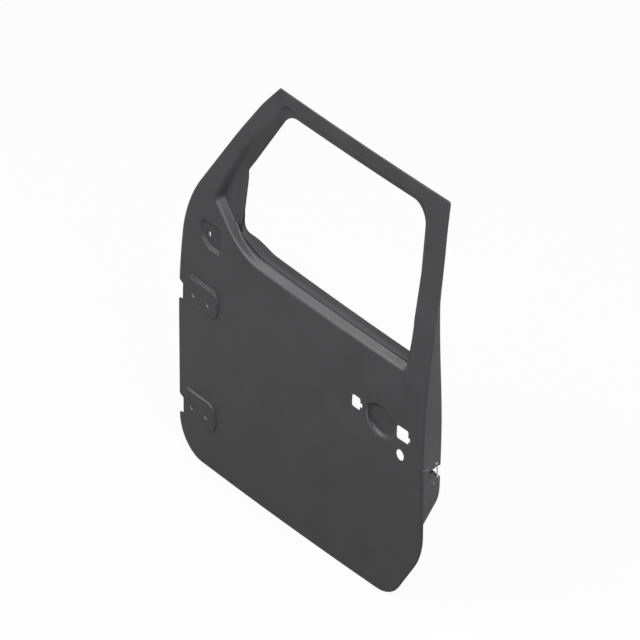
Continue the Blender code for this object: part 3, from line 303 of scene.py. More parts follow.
def rounded(corners, pitch=9.0, base=None):
    """Closed loop of points along the sides and corner arcs of a corner loop.

    An arc of radius r starts r tan(turn / 2) before its corner. The number of
    points on an arc keeps its chords within CHORD_GAP of it, and comes from
    `base`, so that moved copies of one outline match point for point.
    """
    base = base or corners
    pts = np.array([c[:2] for c in corners])
    ref = np.array([c[:2] for c in base])
    loop = []
    arcs = []
    for i in range(len(corners)):
        a = pts[i] - pts[i - 1]
        b = pts[(i + 1) % len(pts)] - pts[i]
        a, b = a / np.linalg.norm(a), b / np.linalg.norm(b)
        turn = math.atan2(a[0] * b[1] - a[1] * b[0], a @ b)
        side = math.copysign(corners[i][2], turn)
        grain = min(math.sqrt(8 * CHORD_GAP / max(base[i][2], 1.0)), pitch / base[i][2], 0.3)
        ang = turn * np.linspace(0, 1, max(2, math.ceil(abs(turn) / grain)) + 1)
        across = np.array([-a[1], a[0]])
        centre = pts[i] - a * abs(side) * math.tan(abs(turn) / 2) + side * across
        arcs.append(centre - side * (np.cos(ang)[:, None] * across
                                     - np.sin(ang)[:, None] * a))
    for i, arc in enumerate(arcs):
        nxt = arcs[(i + 1) % len(arcs)][0]
        span = np.linalg.norm(ref[(i + 1) % len(ref)] - ref[i])
        share = np.arange(1, max(1, round(span / pitch))) / max(1, round(span / pitch))
        loop += [arc, arc[-1] + (nxt - arc[-1]) * share[:, None]]
    return np.concatenate(loop)


def oval(x, z, rx, rz, steps=40):
    """Anticlockwise ellipse: x + rx cos, z + rz sin."""
    ang = np.arange(steps) * 2 * math.pi / steps
    return np.stack([x + rx * np.cos(ang), z + rz * np.sin(ang)], axis=1)


def box_loop(x0, z0, x1, z1, r, pitch=9.0):
    """Rectangle with round corners."""
    return rounded([(x0, z0, r), (x1, z0, r), (x1, z1, r), (x0, z1, r)], pitch)


def within(points, loop):
    """True inside a closed loop: an odd number of its sides lie to the right."""
    odd = np.zeros(len(points), dtype=bool)
    for p, q in zip(loop, np.roll(loop, -1, axis=0)):
        if p[1] != q[1]:
            hit = (p[1] > points[:, 1]) != (q[1] > points[:, 1])
            cross = p[0] + (points[:, 1] - p[1]) * (q[0] - p[0]) / (q[1] - p[1])
            odd ^= hit & (points[:, 0] < cross)
    return odd


def signed(points, loop):
    """Distance to the nearest side of a closed loop, positive inside it."""
    best = np.full(len(points), 1e18)
    for p, d in zip(loop, np.roll(loop, -1, axis=0) - loop):
        rel = points - p
        t = np.clip((rel @ d) / max(d @ d, 1e-12), 0.0, 1.0)
        gap = rel - t[:, None] * d
        best = np.minimum(best, gap[:, 0] ** 2 + gap[:, 1] ** 2)
    return np.sqrt(best) * np.where(within(points, loop), 1.0, -1.0)


def eased(t, soft, end=None):
    """0 below 0, 1 above 1, an even slope between, with both bends rounded.

    Within `soft` of the first bend the straight line becomes the parabola
    (t + soft)^2 / (4 soft), which meets both straight parts without a kink, and
    the same within `end` of the second.
    """
    soft = np.minimum(soft, 0.5)
    end = soft if end is None else np.minimum(end, 0.5)
    low = np.clip(t + soft, 0.0, 2 * soft)
    high = np.clip(1 + end - t, 0.0, 2 * end)
    rise = np.where(t < soft, low ** 2 / (4 * soft), t)
    return np.where(t > 1 - end, 1 - high ** 2 / (4 * end), rise)


def glide(value, low, high, soft=0.3):
    """Rounded slope from 0 at `low` to 1 at `high`."""
    return eased((value - low) / (high - low), soft)


def ramp(pts, top, floor, bends):
    """Pressed wall between two loops: 0 outside `top`, 1 inside `floor`.

    With a and b the signed distances to the two loops, t = a / (a - b) runs
    from 0 on the first to 1 on the second. The bends at `top` and at `floor`
    are rounded over `bends` millimetres to each side.
    """
    a, b = signed(pts, top), signed(pts, floor)
    wide = np.maximum(a - b, 0.5)
    return eased(a / wide, bends[0] / wide, bends[1] / wide)


def skin(x, z):
    """Plain outer face: a parabola across the door, and a lean that grows as the
    square of the height above the waist and then stays."""
    mid = DOOR_WIDTH / 2
    crown = -CROWN * (1 - ((x - mid) / mid) ** 2)
    span = TUMBLE_END - TUMBLE_START
    curve = TUMBLE_SLOPE * np.clip(z - TUMBLE_START, 0.0, span) ** 2 / (2 * span)
    return crown + curve + TUMBLE_SLOPE * np.maximum(z - TUMBLE_END, 0.0)


def roll(x, z):
    """Turn of the face towards the hem: the square of how far a point is into the
    edge strip, and more of it along the lower rear edge."""
    pts = np.stack([x, z], axis=1)
    share = np.clip(1 - signed(pts, rounded(OUTLINE, COARSE)) / ROLL_WIDTH, 0.0, 1.0)
    rear = glide(x, *ROLL_REAR_X) * glide(z, *ROLL_REAR_FOOT)
    rear = rear * (1 - glide(z, *ROLL_REAR_HEAD))
    return (ROLL_DROP + ROLL_REAR * rear) * share ** 2


def recess_depth(x, z):
    """Depth of the window recess floor: straight between four levels, and deeper
    by the sail step on the patch at its front. Along the front pillar only part of
    it is the wall; the rest is an even slope from the wall to the window, which
    grows as u = b / (b + c), with b the distance from the wall and c the distance
    to the window."""
    patch = glide(x, SAIL_STEP_X - SAIL_STEP_HALF, SAIL_STEP_X + SAIL_STEP_HALF)
    patch = patch * glide(SAIL_REAR[0] - x, 0.0, SAIL_REAR[1])
    patch = patch * glide(z, *SAIL_FOOT) * glide(SAIL_HEAD[0] - z, 0.0, SAIL_HEAD[1])
    depth = np.interp(z, RECESS_LEVELS, RECESS_DEPTHS)
    pts = np.stack([x, z], axis=1)
    b = np.maximum(signed(pts, rounded(RECESS_FLOOR, COARSE)), 0.0)
    c = np.maximum(-signed(pts, rounded(OUTER_OPENING, COARSE)), 0.0)
    share = np.interp(z, PILLAR_LEVELS, PILLAR_WALL)
    share = share + (1 - share) * glide(x, *HEADER_X)
    return depth * (share + (1 - share) * b / (b + c + 0.01)) + SAIL_STEP * patch


def boss_loops(spot):
    """Foot and top loops of a hinge boss."""
    z0, z1 = spot[1] - BOSS_HALF, spot[1] + BOSS_HALF
    shift = spot[0] - UPPER_HINGE[0]
    x0, x1 = BOSS_FRONT + shift, BOSS_REAR + shift
    near, far = BOSS_RADII
    foot = [(x0, z0, near), (x1, z0, far), (x1, z1, far), (x0, z1, near)]
    return rounded(foot), rounded(shift_sides(foot, BOSS_SLOPE))


def pocket_loops():
    """Border and floor loops of the mirror pocket."""
    return rounded(MIRROR_POCKET), rounded(shift_sides(MIRROR_POCKET, MIRROR_SLOPE))


def dish_loops():
    """Border and floor loops of the finger dish behind the handle."""
    x, z, rx, rz = DISH
    steps = 90
    return oval(x, z, rx, rz, steps), oval(x, z, rx - DISH_WALL, rz - DISH_WALL, steps)


def seat_loops():
    """Border and floor loops of the shallow seats of the handle's two feet."""
    step = HANDLE_SEAT_SLOPE
    return [(box_loop(x0, z0, x1, z1, HANDLE_SEAT_R),
             box_loop(x0 + step, z0 + step, x1 - step, z1 - step, HANDLE_SEAT_R - step))
            for x0, z0, x1, z1 in HANDLE_SEATS]


def outer_face(x, z):
    """Outer panel: the skin, plus the recess, pocket, dish and handle seats, and
    drawn towards the hinge plane on each boss."""
    pts = np.stack([x, z], axis=1)
    y = skin(x, z) + roll(x, z)
    recess = ramp(pts, rounded(RECESS_TOP), rounded(RECESS_FLOOR), RECESS_BENDS)
    y = y + recess * recess_depth(x, z)
    for spot in (UPPER_HINGE, LOWER_HINGE):
        part = ramp(pts, *boss_loops(spot), BOSS_BENDS)
        y = y * (1 - part) + HINGE_PLANE * part
    lean = glide(x, *MIRROR_LEAN_X)
    y = y + ramp(pts, *pocket_loops(), MIRROR_BENDS) * (MIRROR_DEPTH + MIRROR_LEAN * lean)
    for top, floor in seat_loops():
        y = y + ramp(pts, top, floor, HANDLE_SEAT_BENDS) * HANDLE_SEAT_DEPTH
    return y + ramp(pts, *dish_loops(), DISH_BENDS) * DISH_DEPTH


def belt_strip(x):
    """Depth of the upright face of the inner belt rail below the skin."""
    first, x0, x1 = STRIP_START
    return first + (LEDGE_FAR - first) * glide(x, x0, x1)


def wall_loops():
    """Foot, top and inner ledge loops of the pan, which match point for point."""
    foot = shift_sides(OUTLINE, WALL_FOOT, WALL_FOOT_R)
    top = shift_sides(OUTLINE, WALL_TOP, WALL_TOP_R)
    ledge = shift_sides(top, [FACE_LEDGE] * len(top))
    return tuple(rounded(loop, base=OUTLINE) for loop in (foot, top, ledge))


def opening_loops():
    """Near and far loops of the welded flange round the window."""
    near = shift_sides(INNER_OPENING, [-FRAME_FLANGE] * len(INNER_OPENING))
    far = shift_sides(INNER_OPENING, [-FRAME_FLANGE - FLANGE_SLOPE] * len(INNER_OPENING))
    return rounded(near), rounded(far)


def bead_loops():
    """Foot and top loops of the stiffening bead in the inner panel."""
    x0, z, x1, half = BEAD
    foot = [(x0, z - half, half - 0.5), (x1, z - half, half - 0.5),
            (x1, z + half, half - 0.5), (x0, z + half, half - 0.5)]
    return rounded(foot), rounded(shift_sides(foot, [BEAD_SLOPE] * 4))


def larger(a, b, soft=3.0):
    """The larger of two depths, rounded where they cross: (a + b + root of
    ((a - b)^2 + soft^2)) / 2."""
    return 0.5 * (a + b + np.sqrt((a - b) ** 2 + soft ** 2))


def hem_seat(x, z):
    """Depth of the inner panel's edge, which lies on the skin inside the hem."""
    return skin(x, z) + roll(x, z) + SKIN_T + WELD_GAP


def pan_face(x, z, top):
    """Face of the inner panel: the deeper of the pan's floor and the window frame,
    drawn up to the flange round the window, with the bead pressed into it. The
    floor bulges at the rear as exp(-((z - middle) / spread)^2). Along the belt the
    flange lies behind the inner rail, and goes over into its own depth above."""
    pts = np.stack([x, z], axis=1)
    flat = FACE_Y + (FRONT_FACE_Y - FACE_Y) * (1 - glide(x, *FRONT_STEP))
    bulge = np.exp(-((z - REAR_BULGE_Z) / REAR_BULGE_SPREAD) ** 2)
    flat = flat + REAR_BULGE * bulge * glide(x, *REAR_BULGE_X)
    into = glide(signed(pts, top), 0.0, FACE_LEDGE)
    edge = FRAME_EDGE - FRAME_EDGE_DROP * glide(z, *FRAME_EDGE_Z)
    face = larger(flat, skin(x, z) + edge + (FRAME_FACE - edge) * into)
    flange = recess_depth(x, z) + SKIN_T + 4 * WELD_GAP
    belt = belt_strip(x) + BRACKET_T + WELD_GAP + BELT_RELIEF * (1 - glide(x, *BELT_RELIEF_X))
    back = glide(x, *BELT_BLEND_X)
    level, fall = BELT_BLEND_Z
    wide, growth = BELT_BLEND_WIDE
    low = 1 - glide((z - level + fall * back) / (wide + growth * back), 0.0, 1.0)
    flange = skin(x, z) + flange * (1 - low) + belt * low
    near, far = opening_loops()
    part = ramp(pts, far, near, FLANGE_BENDS)
    bead = BEAD_HEIGHT * ramp(pts, *bead_loops(), BEAD_BENDS)
    return face * (1 - part) + flange * part - bead


def pan_wall(foot, top):
    """Rows of points down the side wall of the pan, from its face to its edge.

    Foot and top match point for point. Both bends are quadratic curves: from a
    point r before the bend, towards the bend, to a point r after it.
    """
    out = foot - top
    wide = np.linalg.norm(out, axis=1)[:, None]
    out = out / wide
    ends = []
    for spot in (top, foot):
        depth = pan_face(*top.T, top) if spot is top else hem_seat(*foot.T)
        ends.append(np.column_stack([spot[:, 0], depth, spot[:, 1]]))
    slope = ends[1] - ends[0]
    length = np.linalg.norm(slope, axis=1)[:, None]
    slope = slope / length
    first = top - out * WALL_TOP_BEND
    last = foot + out * WALL_FOOT_BEND
    first = np.column_stack([first[:, 0], pan_face(*first.T, top), first[:, 1]])
    last = np.column_stack([last[:, 0], hem_seat(*last.T), last[:, 1]])
    down = ends[0] + slope * np.minimum(WALL_TOP_BEND, 0.45 * length)
    up = ends[1] - slope * np.minimum(WALL_FOOT_BEND, 0.45 * length)
    curve = [((1 - t) ** 2, 2 * t * (1 - t), t * t) for t in np.linspace(0, 1, 6)]
    rows = [a * first + b * ends[0] + c * down for a, b, c in curve]
    rows += [down + (up - down) * t for t in np.linspace(0, 1, 5)[1:-1]]
    return rows + [a * up + b * ends[1] + c * last for a, b, c in curve]


def beside(loop, gaps):
    """Copies of a closed loop moved inwards by each gap, along the normal of the
    chord between each point's neighbours."""
    chord = np.roll(loop, -1, axis=0) - np.roll(loop, 1, axis=0)
    chord /= np.linalg.norm(chord, axis=1)[:, None]
    normal = np.stack([-chord[:, 1], chord[:, 0]], axis=1)
    rows = []
    for gap in gaps:
        row = loop + gap * normal
        if gap:
            row = row[np.abs(signed(row, loop)) > 0.8 * abs(gap)]
        rows.append(row)
    return rows


def fill(border, holes, rows, pitch):
    """Triangles over a flat outline with holes (constrained Delaunay).

    The outline and the holes stay as sides, rows of points follow the bends,
    and a grid of the given pitch fills each cell that no row passes through. A
    triangle that has one of those sides the wrong way round lies outside.
    """
    sides, barred, first = [], [], 0
    for loop in [border] + holes:
        index = np.arange(len(loop)) + first
        pair = np.stack([index, np.roll(index, -1)], axis=1)
        sides.append(pair)
        barred.append(pair[:, ::-1] if loop is border else pair)
        first += len(loop)
    lines = np.concatenate(rows)
    low, high = border.min(axis=0), border.max(axis=0)
    gx, gz = (np.arange(low[k] + pitch / 2, high[k], pitch) for k in (0, 1))
    grid = np.stack(np.meshgrid(gx, gz), axis=-1).reshape(-1, 2)
    fixed = np.concatenate([border] + holes)
    taken = np.unique(np.floor((np.concatenate([fixed, lines]) - low) / pitch), axis=0)
    cell = np.floor((grid - low) / pitch)
    wide = 1e5
    grid = grid[~np.isin(cell[:, 0] * wide + cell[:, 1], taken[:, 0] * wide + taken[:, 1])]
    lines = lines[np.unique(np.floor(lines / POINT_GAP), axis=0, return_index=True)[1]]
    free = np.concatenate([lines, grid])
    keep = signed(free, border) > POINT_GAP
    for hole in holes:
        keep &= signed(free, hole) < -POINT_GAP
    points = np.concatenate([fixed, free[keep]])
    result = delaunay_2d_cdt(points.tolist(), np.concatenate(sides).tolist(), [], 0, 1e-4)
    verts = np.array(result[0], dtype=float)[:, :2]
    tris = np.array(result[2])
    mid = verts[tris].mean(axis=1)
    keep = within(mid, border)
    for hole in holes:
        keep &= ~within(mid, hole)
    a, b, c = verts[tris[:, 0]], verts[tris[:, 1]], verts[tris[:, 2]]
    area = (b[:, 0] - a[:, 0]) * (c[:, 1] - a[:, 1]) - (b[:, 1] - a[:, 1]) * (c[:, 0] - a[:, 0])
    tris[area < 0] = tris[area < 0][:, ::-1]
    spot = nearest(verts, fixed)
    total = len(verts)
    wrong = spot[np.concatenate(barred)] @ [total, 1]
    keep &= ~np.any(np.isin(tris * total + np.roll(tris, -1, axis=1), wrong), axis=1)
    return verts, tris[keep & (np.abs(area) > 1e-7)]


def nearest(verts, loop):
    """Index of the flat point that lies on each point of a loop."""
    picks = []
    for block in np.array_split(loop, max(1, len(loop) // 64)):
        gap = np.sum((verts[None, :, :] - block[:, None, :]) ** 2, axis=2)
        picks.append(np.argmin(gap, axis=1))
    return np.concatenate(picks)


def strip(first, second, closed):
    """Two triangles between each pair of neighbours in two matching rows."""
    a, b, c, d = first, np.roll(first, -1), np.roll(second, -1), second
    if not closed:
        a, b, c, d = a[:-1], b[:-1], c[:-1], d[:-1]
    return np.concatenate([np.stack([a, b, c], axis=1), np.stack([a, c, d], axis=1)])


def object_from(name, verts, faces):
    """Mesh object in metres from points in door millimetres."""
    mesh = bpy.data.meshes.new(name)
    spots = (np.asarray(verts, dtype=float) - ORIGIN) * MM
    mesh.from_pydata(spots.tolist(), [], np.asarray(faces).tolist())
    mesh.validate()
    item = bpy.data.objects.new(name, mesh)
    bpy.context.scene.collection.objects.link(item)
    return item


def thickened(verts, faces, thick):
    """Closed sheet behind a face of triangles.

    Each point moves by thick times m, the least-squares answer to n . m = 1 over
    the normals n of the triangles round it, weighted by their corner angles. A
    small pull keeps m short at tight folds. The back is a turned copy, and each
    open side gets two triangles.
    """
    used, faces = np.unique(faces, return_inverse=True)
    verts, faces = verts[used], faces.reshape(-1, 3)
    count = len(verts)
    pts = verts[faces]
    one, two = np.roll(pts, -1, axis=1) - pts, np.roll(pts, 1, axis=1) - pts
    cross = np.cross(one, two)
    angle = np.arctan2(np.linalg.norm(cross, axis=2), np.sum(one * two, axis=2))
    normal = cross[:, 0] / np.maximum(np.linalg.norm(cross[:, 0], axis=1), 1e-9)[:, None]
    lhs, rhs = np.zeros((count, 3, 3)), np.zeros((count, 3))
    for k in range(3):
        weight = angle[:, k, None] * normal
        np.add.at(lhs, faces[:, k], weight[:, :, None] * normal[:, None, :])
        np.add.at(rhs, faces[:, k], weight)
    lhs += FOLD_PULL * np.eye(3)
    back = verts - thick * np.linalg.solve(lhs, rhs[:, :, None])[:, :, 0]
    sides = np.concatenate([faces[:, (0, 1)], faces[:, (1, 2)], faces[:, (2, 0)]])
    one_way = sides[:, 0] * count + sides[:, 1]
    other = sides[:, 1] * count + sides[:, 0]
    a, b = sides[~np.isin(one_way, other)].T
    wall = np.concatenate([np.stack([b, a, a + count], axis=1),
                           np.stack([b, a + count, b + count], axis=1)])
    return (np.concatenate([verts, back]),
            np.concatenate([faces, faces[:, ::-1] + count, wall]))


def sheet_metal(name, verts, faces, thick, tools=()):
    """Sheet of even thickness behind a face, with the tools cut out of it."""
    item = object_from(name, *thickened(verts, faces, thick))
    for tool in tools:
        cut = item.modifiers.new("cut", "BOOLEAN")
        cut.operation = "DIFFERENCE"
        cut.solver = "EXACT"
        cut.object = tool
    seen = item.evaluated_get(bpy.context.evaluated_depsgraph_get())
    mesh = bpy.data.meshes.new_from_object(seen)
    item.modifiers.clear()
    item.data = mesh
    mesh.name = name
    mesh.polygons.foreach_set("use_smooth", [True] * len(mesh.polygons))
    mesh.set_sharp_from_angle(angle=math.radians(CREASE))
    for tool in tools:
        bpy.data.objects.remove(tool, do_unlink=True)
    return item


def prisms(name, parts):
    """One cutter from straight prisms, each (section, axis, start, end).

    Sections are (y, z) for axis X and (x, z) for axis Y.
    """
    verts, faces, first = [], [], 0
    for section, axis, start, end in parts:
        loop = np.asarray(section, dtype=float)
        nxt = np.roll(loop, -1, axis=0)
        if np.sum(loop[:, 0] * nxt[:, 1] - nxt[:, 0] * loop[:, 1]) < 0:
            loop = loop[::-1]
        count = len(loop)
        order = [1, 2, 0] if axis == "X" else [0, 2, 1]
        for level in (start, end):
            block = np.zeros((count, 3))
            block[:, order] = np.column_stack([loop, np.full(count, level)])
            verts.append(block)
        index = np.arange(count)
        fan = np.column_stack([np.zeros(count - 2, int), index[1:-1], index[2:]])
        body = np.concatenate([fan[:, ::-1], fan + count, strip(index, index + count, True)])
        faces.append((body if axis == "X" else body[:, ::-1]) + first)
        first += 2 * count
    return object_from(name, np.concatenate(verts), np.concatenate(faces))


def notch_prisms():
    """Wedge-shaped notches in the front edge, one beside each hinge."""
    parts = []
    for spot in (UPPER_HINGE, LOWER_HINGE):
        z = spot[1] + NOTCH_DROP
        wide = NOTCH_HALF + NOTCH_SPLAY
        loop = [(NOTCH_MOUTH, z - wide), (NOTCH_DEPTH, z - NOTCH_HALF),
                (NOTCH_DEPTH, z + NOTCH_HALF), (NOTCH_MOUTH, z + wide)]
        parts.append((loop, "Y", *NOTCH_CUT_Y))
    return parts


def outer_holes():
    """Every hole of the outer panel except the window."""
    holes = [oval(spot[0] + dx, spot[1] + HINGE_HOLE_DROP, HINGE_HOLE_R, HINGE_HOLE_R, 36)
             for spot in (UPPER_HINGE, LOWER_HINGE) for dx in HINGE_HOLES]
    holes += [oval(*MIRROR_HOLE, 36), oval(*LOCK_HOLE, LOCK_HOLE[2], 56)]
    return holes + [rounded(HANDLE_HOLE_FRONT, 5.0), rounded(HANDLE_HOLE_REAR, 5.0)]


def bend_rows(pairs):
    """Rows of points beside both loops of each pressed wall, over its bends."""
    rows = []
    for top, floor, bends in pairs:
        for loop, bend in zip((top, floor), bends):
            rows += beside(loop, np.array([-1.0, -0.5, 0.0, 0.5, 1.0]) * bend)
    return rows


def outer_skin():
    """Outer panel from its filled face, the hem round its edge and the belt flange.

    The hem is a half turn of the outline: inwards by r (1 - cos t), and into the
    car by half the fold's thickness times (1 + sin t), then a flat leg.
    """
    rim = rounded(shift_sides(OUTLINE, [HEM_RADIUS] * len(OUTLINE)), base=OUTLINE)
    opening = rounded(OUTER_OPENING)
    pairs = [(rounded(RECESS_TOP), rounded(RECESS_FLOOR), RECESS_BENDS)]
    pairs += [boss_loops(spot) + (BOSS_BENDS,) for spot in (UPPER_HINGE, LOWER_HINGE)]
    pairs += [pocket_loops() + (MIRROR_BENDS,), dish_loops() + (DISH_BENDS,)]
    pairs += [pair + (HANDLE_SEAT_BENDS,) for pair in seat_loops()]
    rows = bend_rows(pairs) + beside(rim, ROLL_ROWS)
    rows += [np.column_stack([np.full(60, x), np.linspace(SAIL_FOOT[0], SAIL_HEAD[0], 60)])
             for x in SAIL_STEP_X + np.array([-6.0, -4.0, -2.0, 0.0, 2.0, 4.0, 6.0])]
    rows += beside(opening, [-2.0, -5.0])
    flat, faces = fill(rim, [opening] + outer_holes(), rows, GRID)
    verts = np.column_stack([flat[:, 0], outer_face(flat[:, 0], flat[:, 1]), flat[:, 1]])
    edge = nearest(flat, rim)
    fold = 2 * SKIN_T + INNER_T + 2 * WELD_GAP
    ang = np.radians(HEM_TURN)
    rings = [(HEM_RADIUS - HEM_RADIUS * math.cos(t), fold / 2 * (1 + math.sin(t)))
             for t in ang]
    faces = [faces]
    for inset, rise in rings + [(HEM_FOLD, fold)]:
        ring = rounded(shift_sides(OUTLINE, [inset] * len(OUTLINE)), base=OUTLINE)
        depth = skin(*ring.T) + roll(*rim.T) + rise
        nxt = np.arange(len(ring)) + len(verts)
        verts = np.concatenate([verts, np.column_stack([ring[:, 0], depth, ring[:, 1]])])
        faces.append(strip(nxt, edge, True))
        edge = nxt
    lower = (opening[:, 1] < BELT_FOLD_TOP) & (opening[:, 0] > BELT_FOLD_FRONT)
    lower &= opening[:, 0] < OPENING_REAR - 6
    order = np.nonzero(lower)[0]
    order = order[np.argsort(opening[order, 0])]
    edge = nearest(flat, opening[order])
    base = verts[edge]
    for shift, rise in BELT_FOLD:
        nxt = np.arange(len(edge)) + len(verts)
        verts = np.concatenate([verts, base + np.array([0.0, shift, rise])])
        faces.append(strip(edge, nxt, False))
        edge = nxt
    return sheet_metal("outer_skin", verts, np.concatenate(faces), SKIN_T,
                       [prisms("notches_outer", notch_prisms())])


def inner_pan():
    """Inner panel: its filled face, its side wall carried round it, and the edge in
    the hem, with the holes of the side wall cut."""
    foot, top, ledge = wall_loops()
    wall = pan_wall(foot, top)
    near, far = opening_loops()
    rows = bend_rows([(far, near, FLANGE_BENDS), bead_loops() + (BEAD_BENDS,)])
    rows += beside(ledge, [-6.0, 0.0, 3.0])
    for x in FRONT_STEP + REAR_BULGE_X:
        rows += [np.column_stack([np.full(90, x + dx), np.linspace(60.0, 800.0, 90)])
                 for dx in (-6.0, -3.0, 0.0, 3.0, 6.0)]
    opening = rounded(shift_sides(INNER_OPENING, INNER_LIP))
    holes = [opening, box_loop(*ACCESS_HOLE), box_loop(*REGULATOR_HOLE)]
    holes += [oval(*SPEAKER_HOLE, SPEAKER_HOLE[2], 90), oval(*HARNESS_HOLE, HARNESS_HOLE[2], 40)]
    holes += [oval(x, z, CLIP_HOLE_R, CLIP_HOLE_R, 16) for x, z in CLIP_HOLES]
    holes += [oval(x, z, NUT_HOLE_R, NUT_HOLE_R, 16) for x, z in NUT_SPOTS]
    border = wall[0][:, (0, 2)]
    flat, faces = fill(border, holes, rows, GRID)
    depth = pan_face(flat[:, 0], flat[:, 1], top)
    verts = [np.column_stack([flat[:, 0], depth, flat[:, 1]])]
    rim = rounded(shift_sides(OUTLINE, [HEM_INSET] * len(OUTLINE)), base=OUTLINE)
    wall.append(np.column_stack([rim[:, 0], hem_seat(*rim.T), rim[:, 1]]))
    faces, edge, count = [faces], nearest(flat, border), len(flat)
    for row in wall[1:]:
        nxt = np.arange(len(row)) + count
        verts.append(row)
        faces.append(strip(nxt, edge, True))
        edge, count = nxt, count + len(row)
    (x0, x1), (z0, z1) = LATCH_STEP_X, LATCH_FACE_Z
    step = [(x0, z0 - 1), (x1, z0), (x1, z1), (x0, z1)]
    y0, y1, s0, s1 = STRAP_SLOT
    side = [(LATCH_MOUTH, "X", *LATCH_MOUTH_X),
            (box_loop(y0, s0, y1, s1, STRAP_SLOT_R), "X", *STRAP_SLOT_X)]
    side += [(oval(y, z, r, r, 20), "X", *LATCH_SCREW_X) for y, z, r in LATCH_SCREWS]
    return sheet_metal("inner_pan", np.concatenate(verts), np.concatenate(faces), INNER_T,
                       [prisms("notches_inner", notch_prisms()),
                        prisms("side_holes", side),
                        prisms("latch_step", [(step, "Y", *LATCH_STEP_Y)])])


def latch_lip():
    """Lip pressed inwards along the lower edge of the latch mouth: a quarter turn
    of radius LIP_BEND from the jamb, then a straight leg that rises slightly."""
    (y0, z0), (y1, z1) = LATCH_MOUTH[:2]
    y = np.linspace(y0 + 0.5, FACE_Y, 12)
    z = z0 + (z1 - z0) * (y - y0) / (y1 - y0)
    jamb = DOOR_WIDTH - WALL_FOOT[2] - (WALL_TOP[2] - WALL_FOOT[2]) * y / FACE_Y
    ang = np.radians([0.0, 30.0, 60.0, 90.0])
    path = [(LIP_BEND * (1 - math.cos(a)), LIP_BEND * (math.sin(a) - 1)) for a in ang]
    path += [(LIP_DEPTH, LIP_RISE)]
    verts = np.concatenate([np.column_stack([jamb - LIP_GAP - into, y, z + rise])
                            for into, rise in path])
    index = np.arange(len(y))
    faces = [strip(index + (k + 1) * len(y), index + k * len(y), False)
             for k in range(len(path) - 1)]
    return sheet_metal("latch_lip", verts, np.concatenate(faces), INNER_T)


def lower_edge(corners, xs):
    """Height of the lower side of an opening at each x, read along its loop."""
    loop = rounded(corners)
    half = loop[loop[:, 1] < 725.0]
    half = half[np.argsort(half[:, 0])]
    return np.interp(xs, half[:, 0], half[:, 1])


def inner_belt_rail():
    """Rail under the inner side of the glass slot: a leg, a ledge and an upright.

    One profile is carried along the door. It follows the edge of the slot and the
    lower edge of the window, and its ledge widens from the front end.
    """
    x0, x1, x2, x3 = RAIL_X
    xs = np.concatenate([np.linspace(x0, x1, 71), np.linspace(x2, x3, 80)])
    ledge = lower_edge(OUTER_OPENING, xs) + LEDGE_RISE
    crest = lower_edge(INNER_OPENING, np.maximum(xs, OPENING_FRONT + 0.5)) - 0.5
    far = belt_strip(xs)
    widen = RAIL_FRONT_SHARE + (1 - RAIL_FRONT_SHARE) * glide(xs, *RAIL_WIDEN_X)
    near = far - (LEDGE_FAR - LEDGE_NEAR) * widen
    near = np.maximum(near, recess_depth(xs, ledge) + SKIN_T + 2 * WELD_GAP)
    near, far = skin(xs, ledge) + near, skin(xs, ledge) + far
    top = skin(xs, crest) - skin(xs, ledge)
    lean, drop = LEG_LEAN
    low = np.maximum(near - lean, recess_depth(xs, ledge) + skin(xs, ledge) + 2 * SKIN_T)
    bend, mid = RAIL_BEND
    path = [(low, ledge - BELT_LEG), (low, ledge - drop), (near, ledge - bend),
            (near + mid, ledge - mid), (near + bend, ledge), (far - bend, ledge),
            (far - mid, ledge + mid), (far, ledge + bend), (far + top, crest)]
    verts = np.concatenate([np.column_stack([xs, y, z]) for y, z in path])
    index = np.arange(len(xs))
    faces = [strip(index + k * len(xs), index + (k + 1) * len(xs), False)
             for k in range(len(path) - 1)]
    return sheet_metal("inner_belt_rail", verts, np.concatenate(faces), BRACKET_T)


def srgb(code):
    """Linear colour from an sRGB hex value."""
    value = np.array([int(code[k:k + 2], 16) for k in (0, 2, 4)]) / 255
    value = np.where(value > 0.04045, ((value + 0.055) / 1.055) ** 2.4, value / 12.92)
    return (*value.tolist(), 1.0)


def add(tree, kind, settings=None, links=None):
    """Node of a kind, with its settings and the sockets that feed its inputs."""
    node = tree.nodes.new(kind)
    for key, value in (settings or {}).items():
        if isinstance(key, int) or key in node.inputs:
            node.inputs[key].default_value = value
        else:
            setattr(node, key, value)
    for key, socket in (links or {}).items():
        tree.links.new(socket, node.inputs[key])
    return node


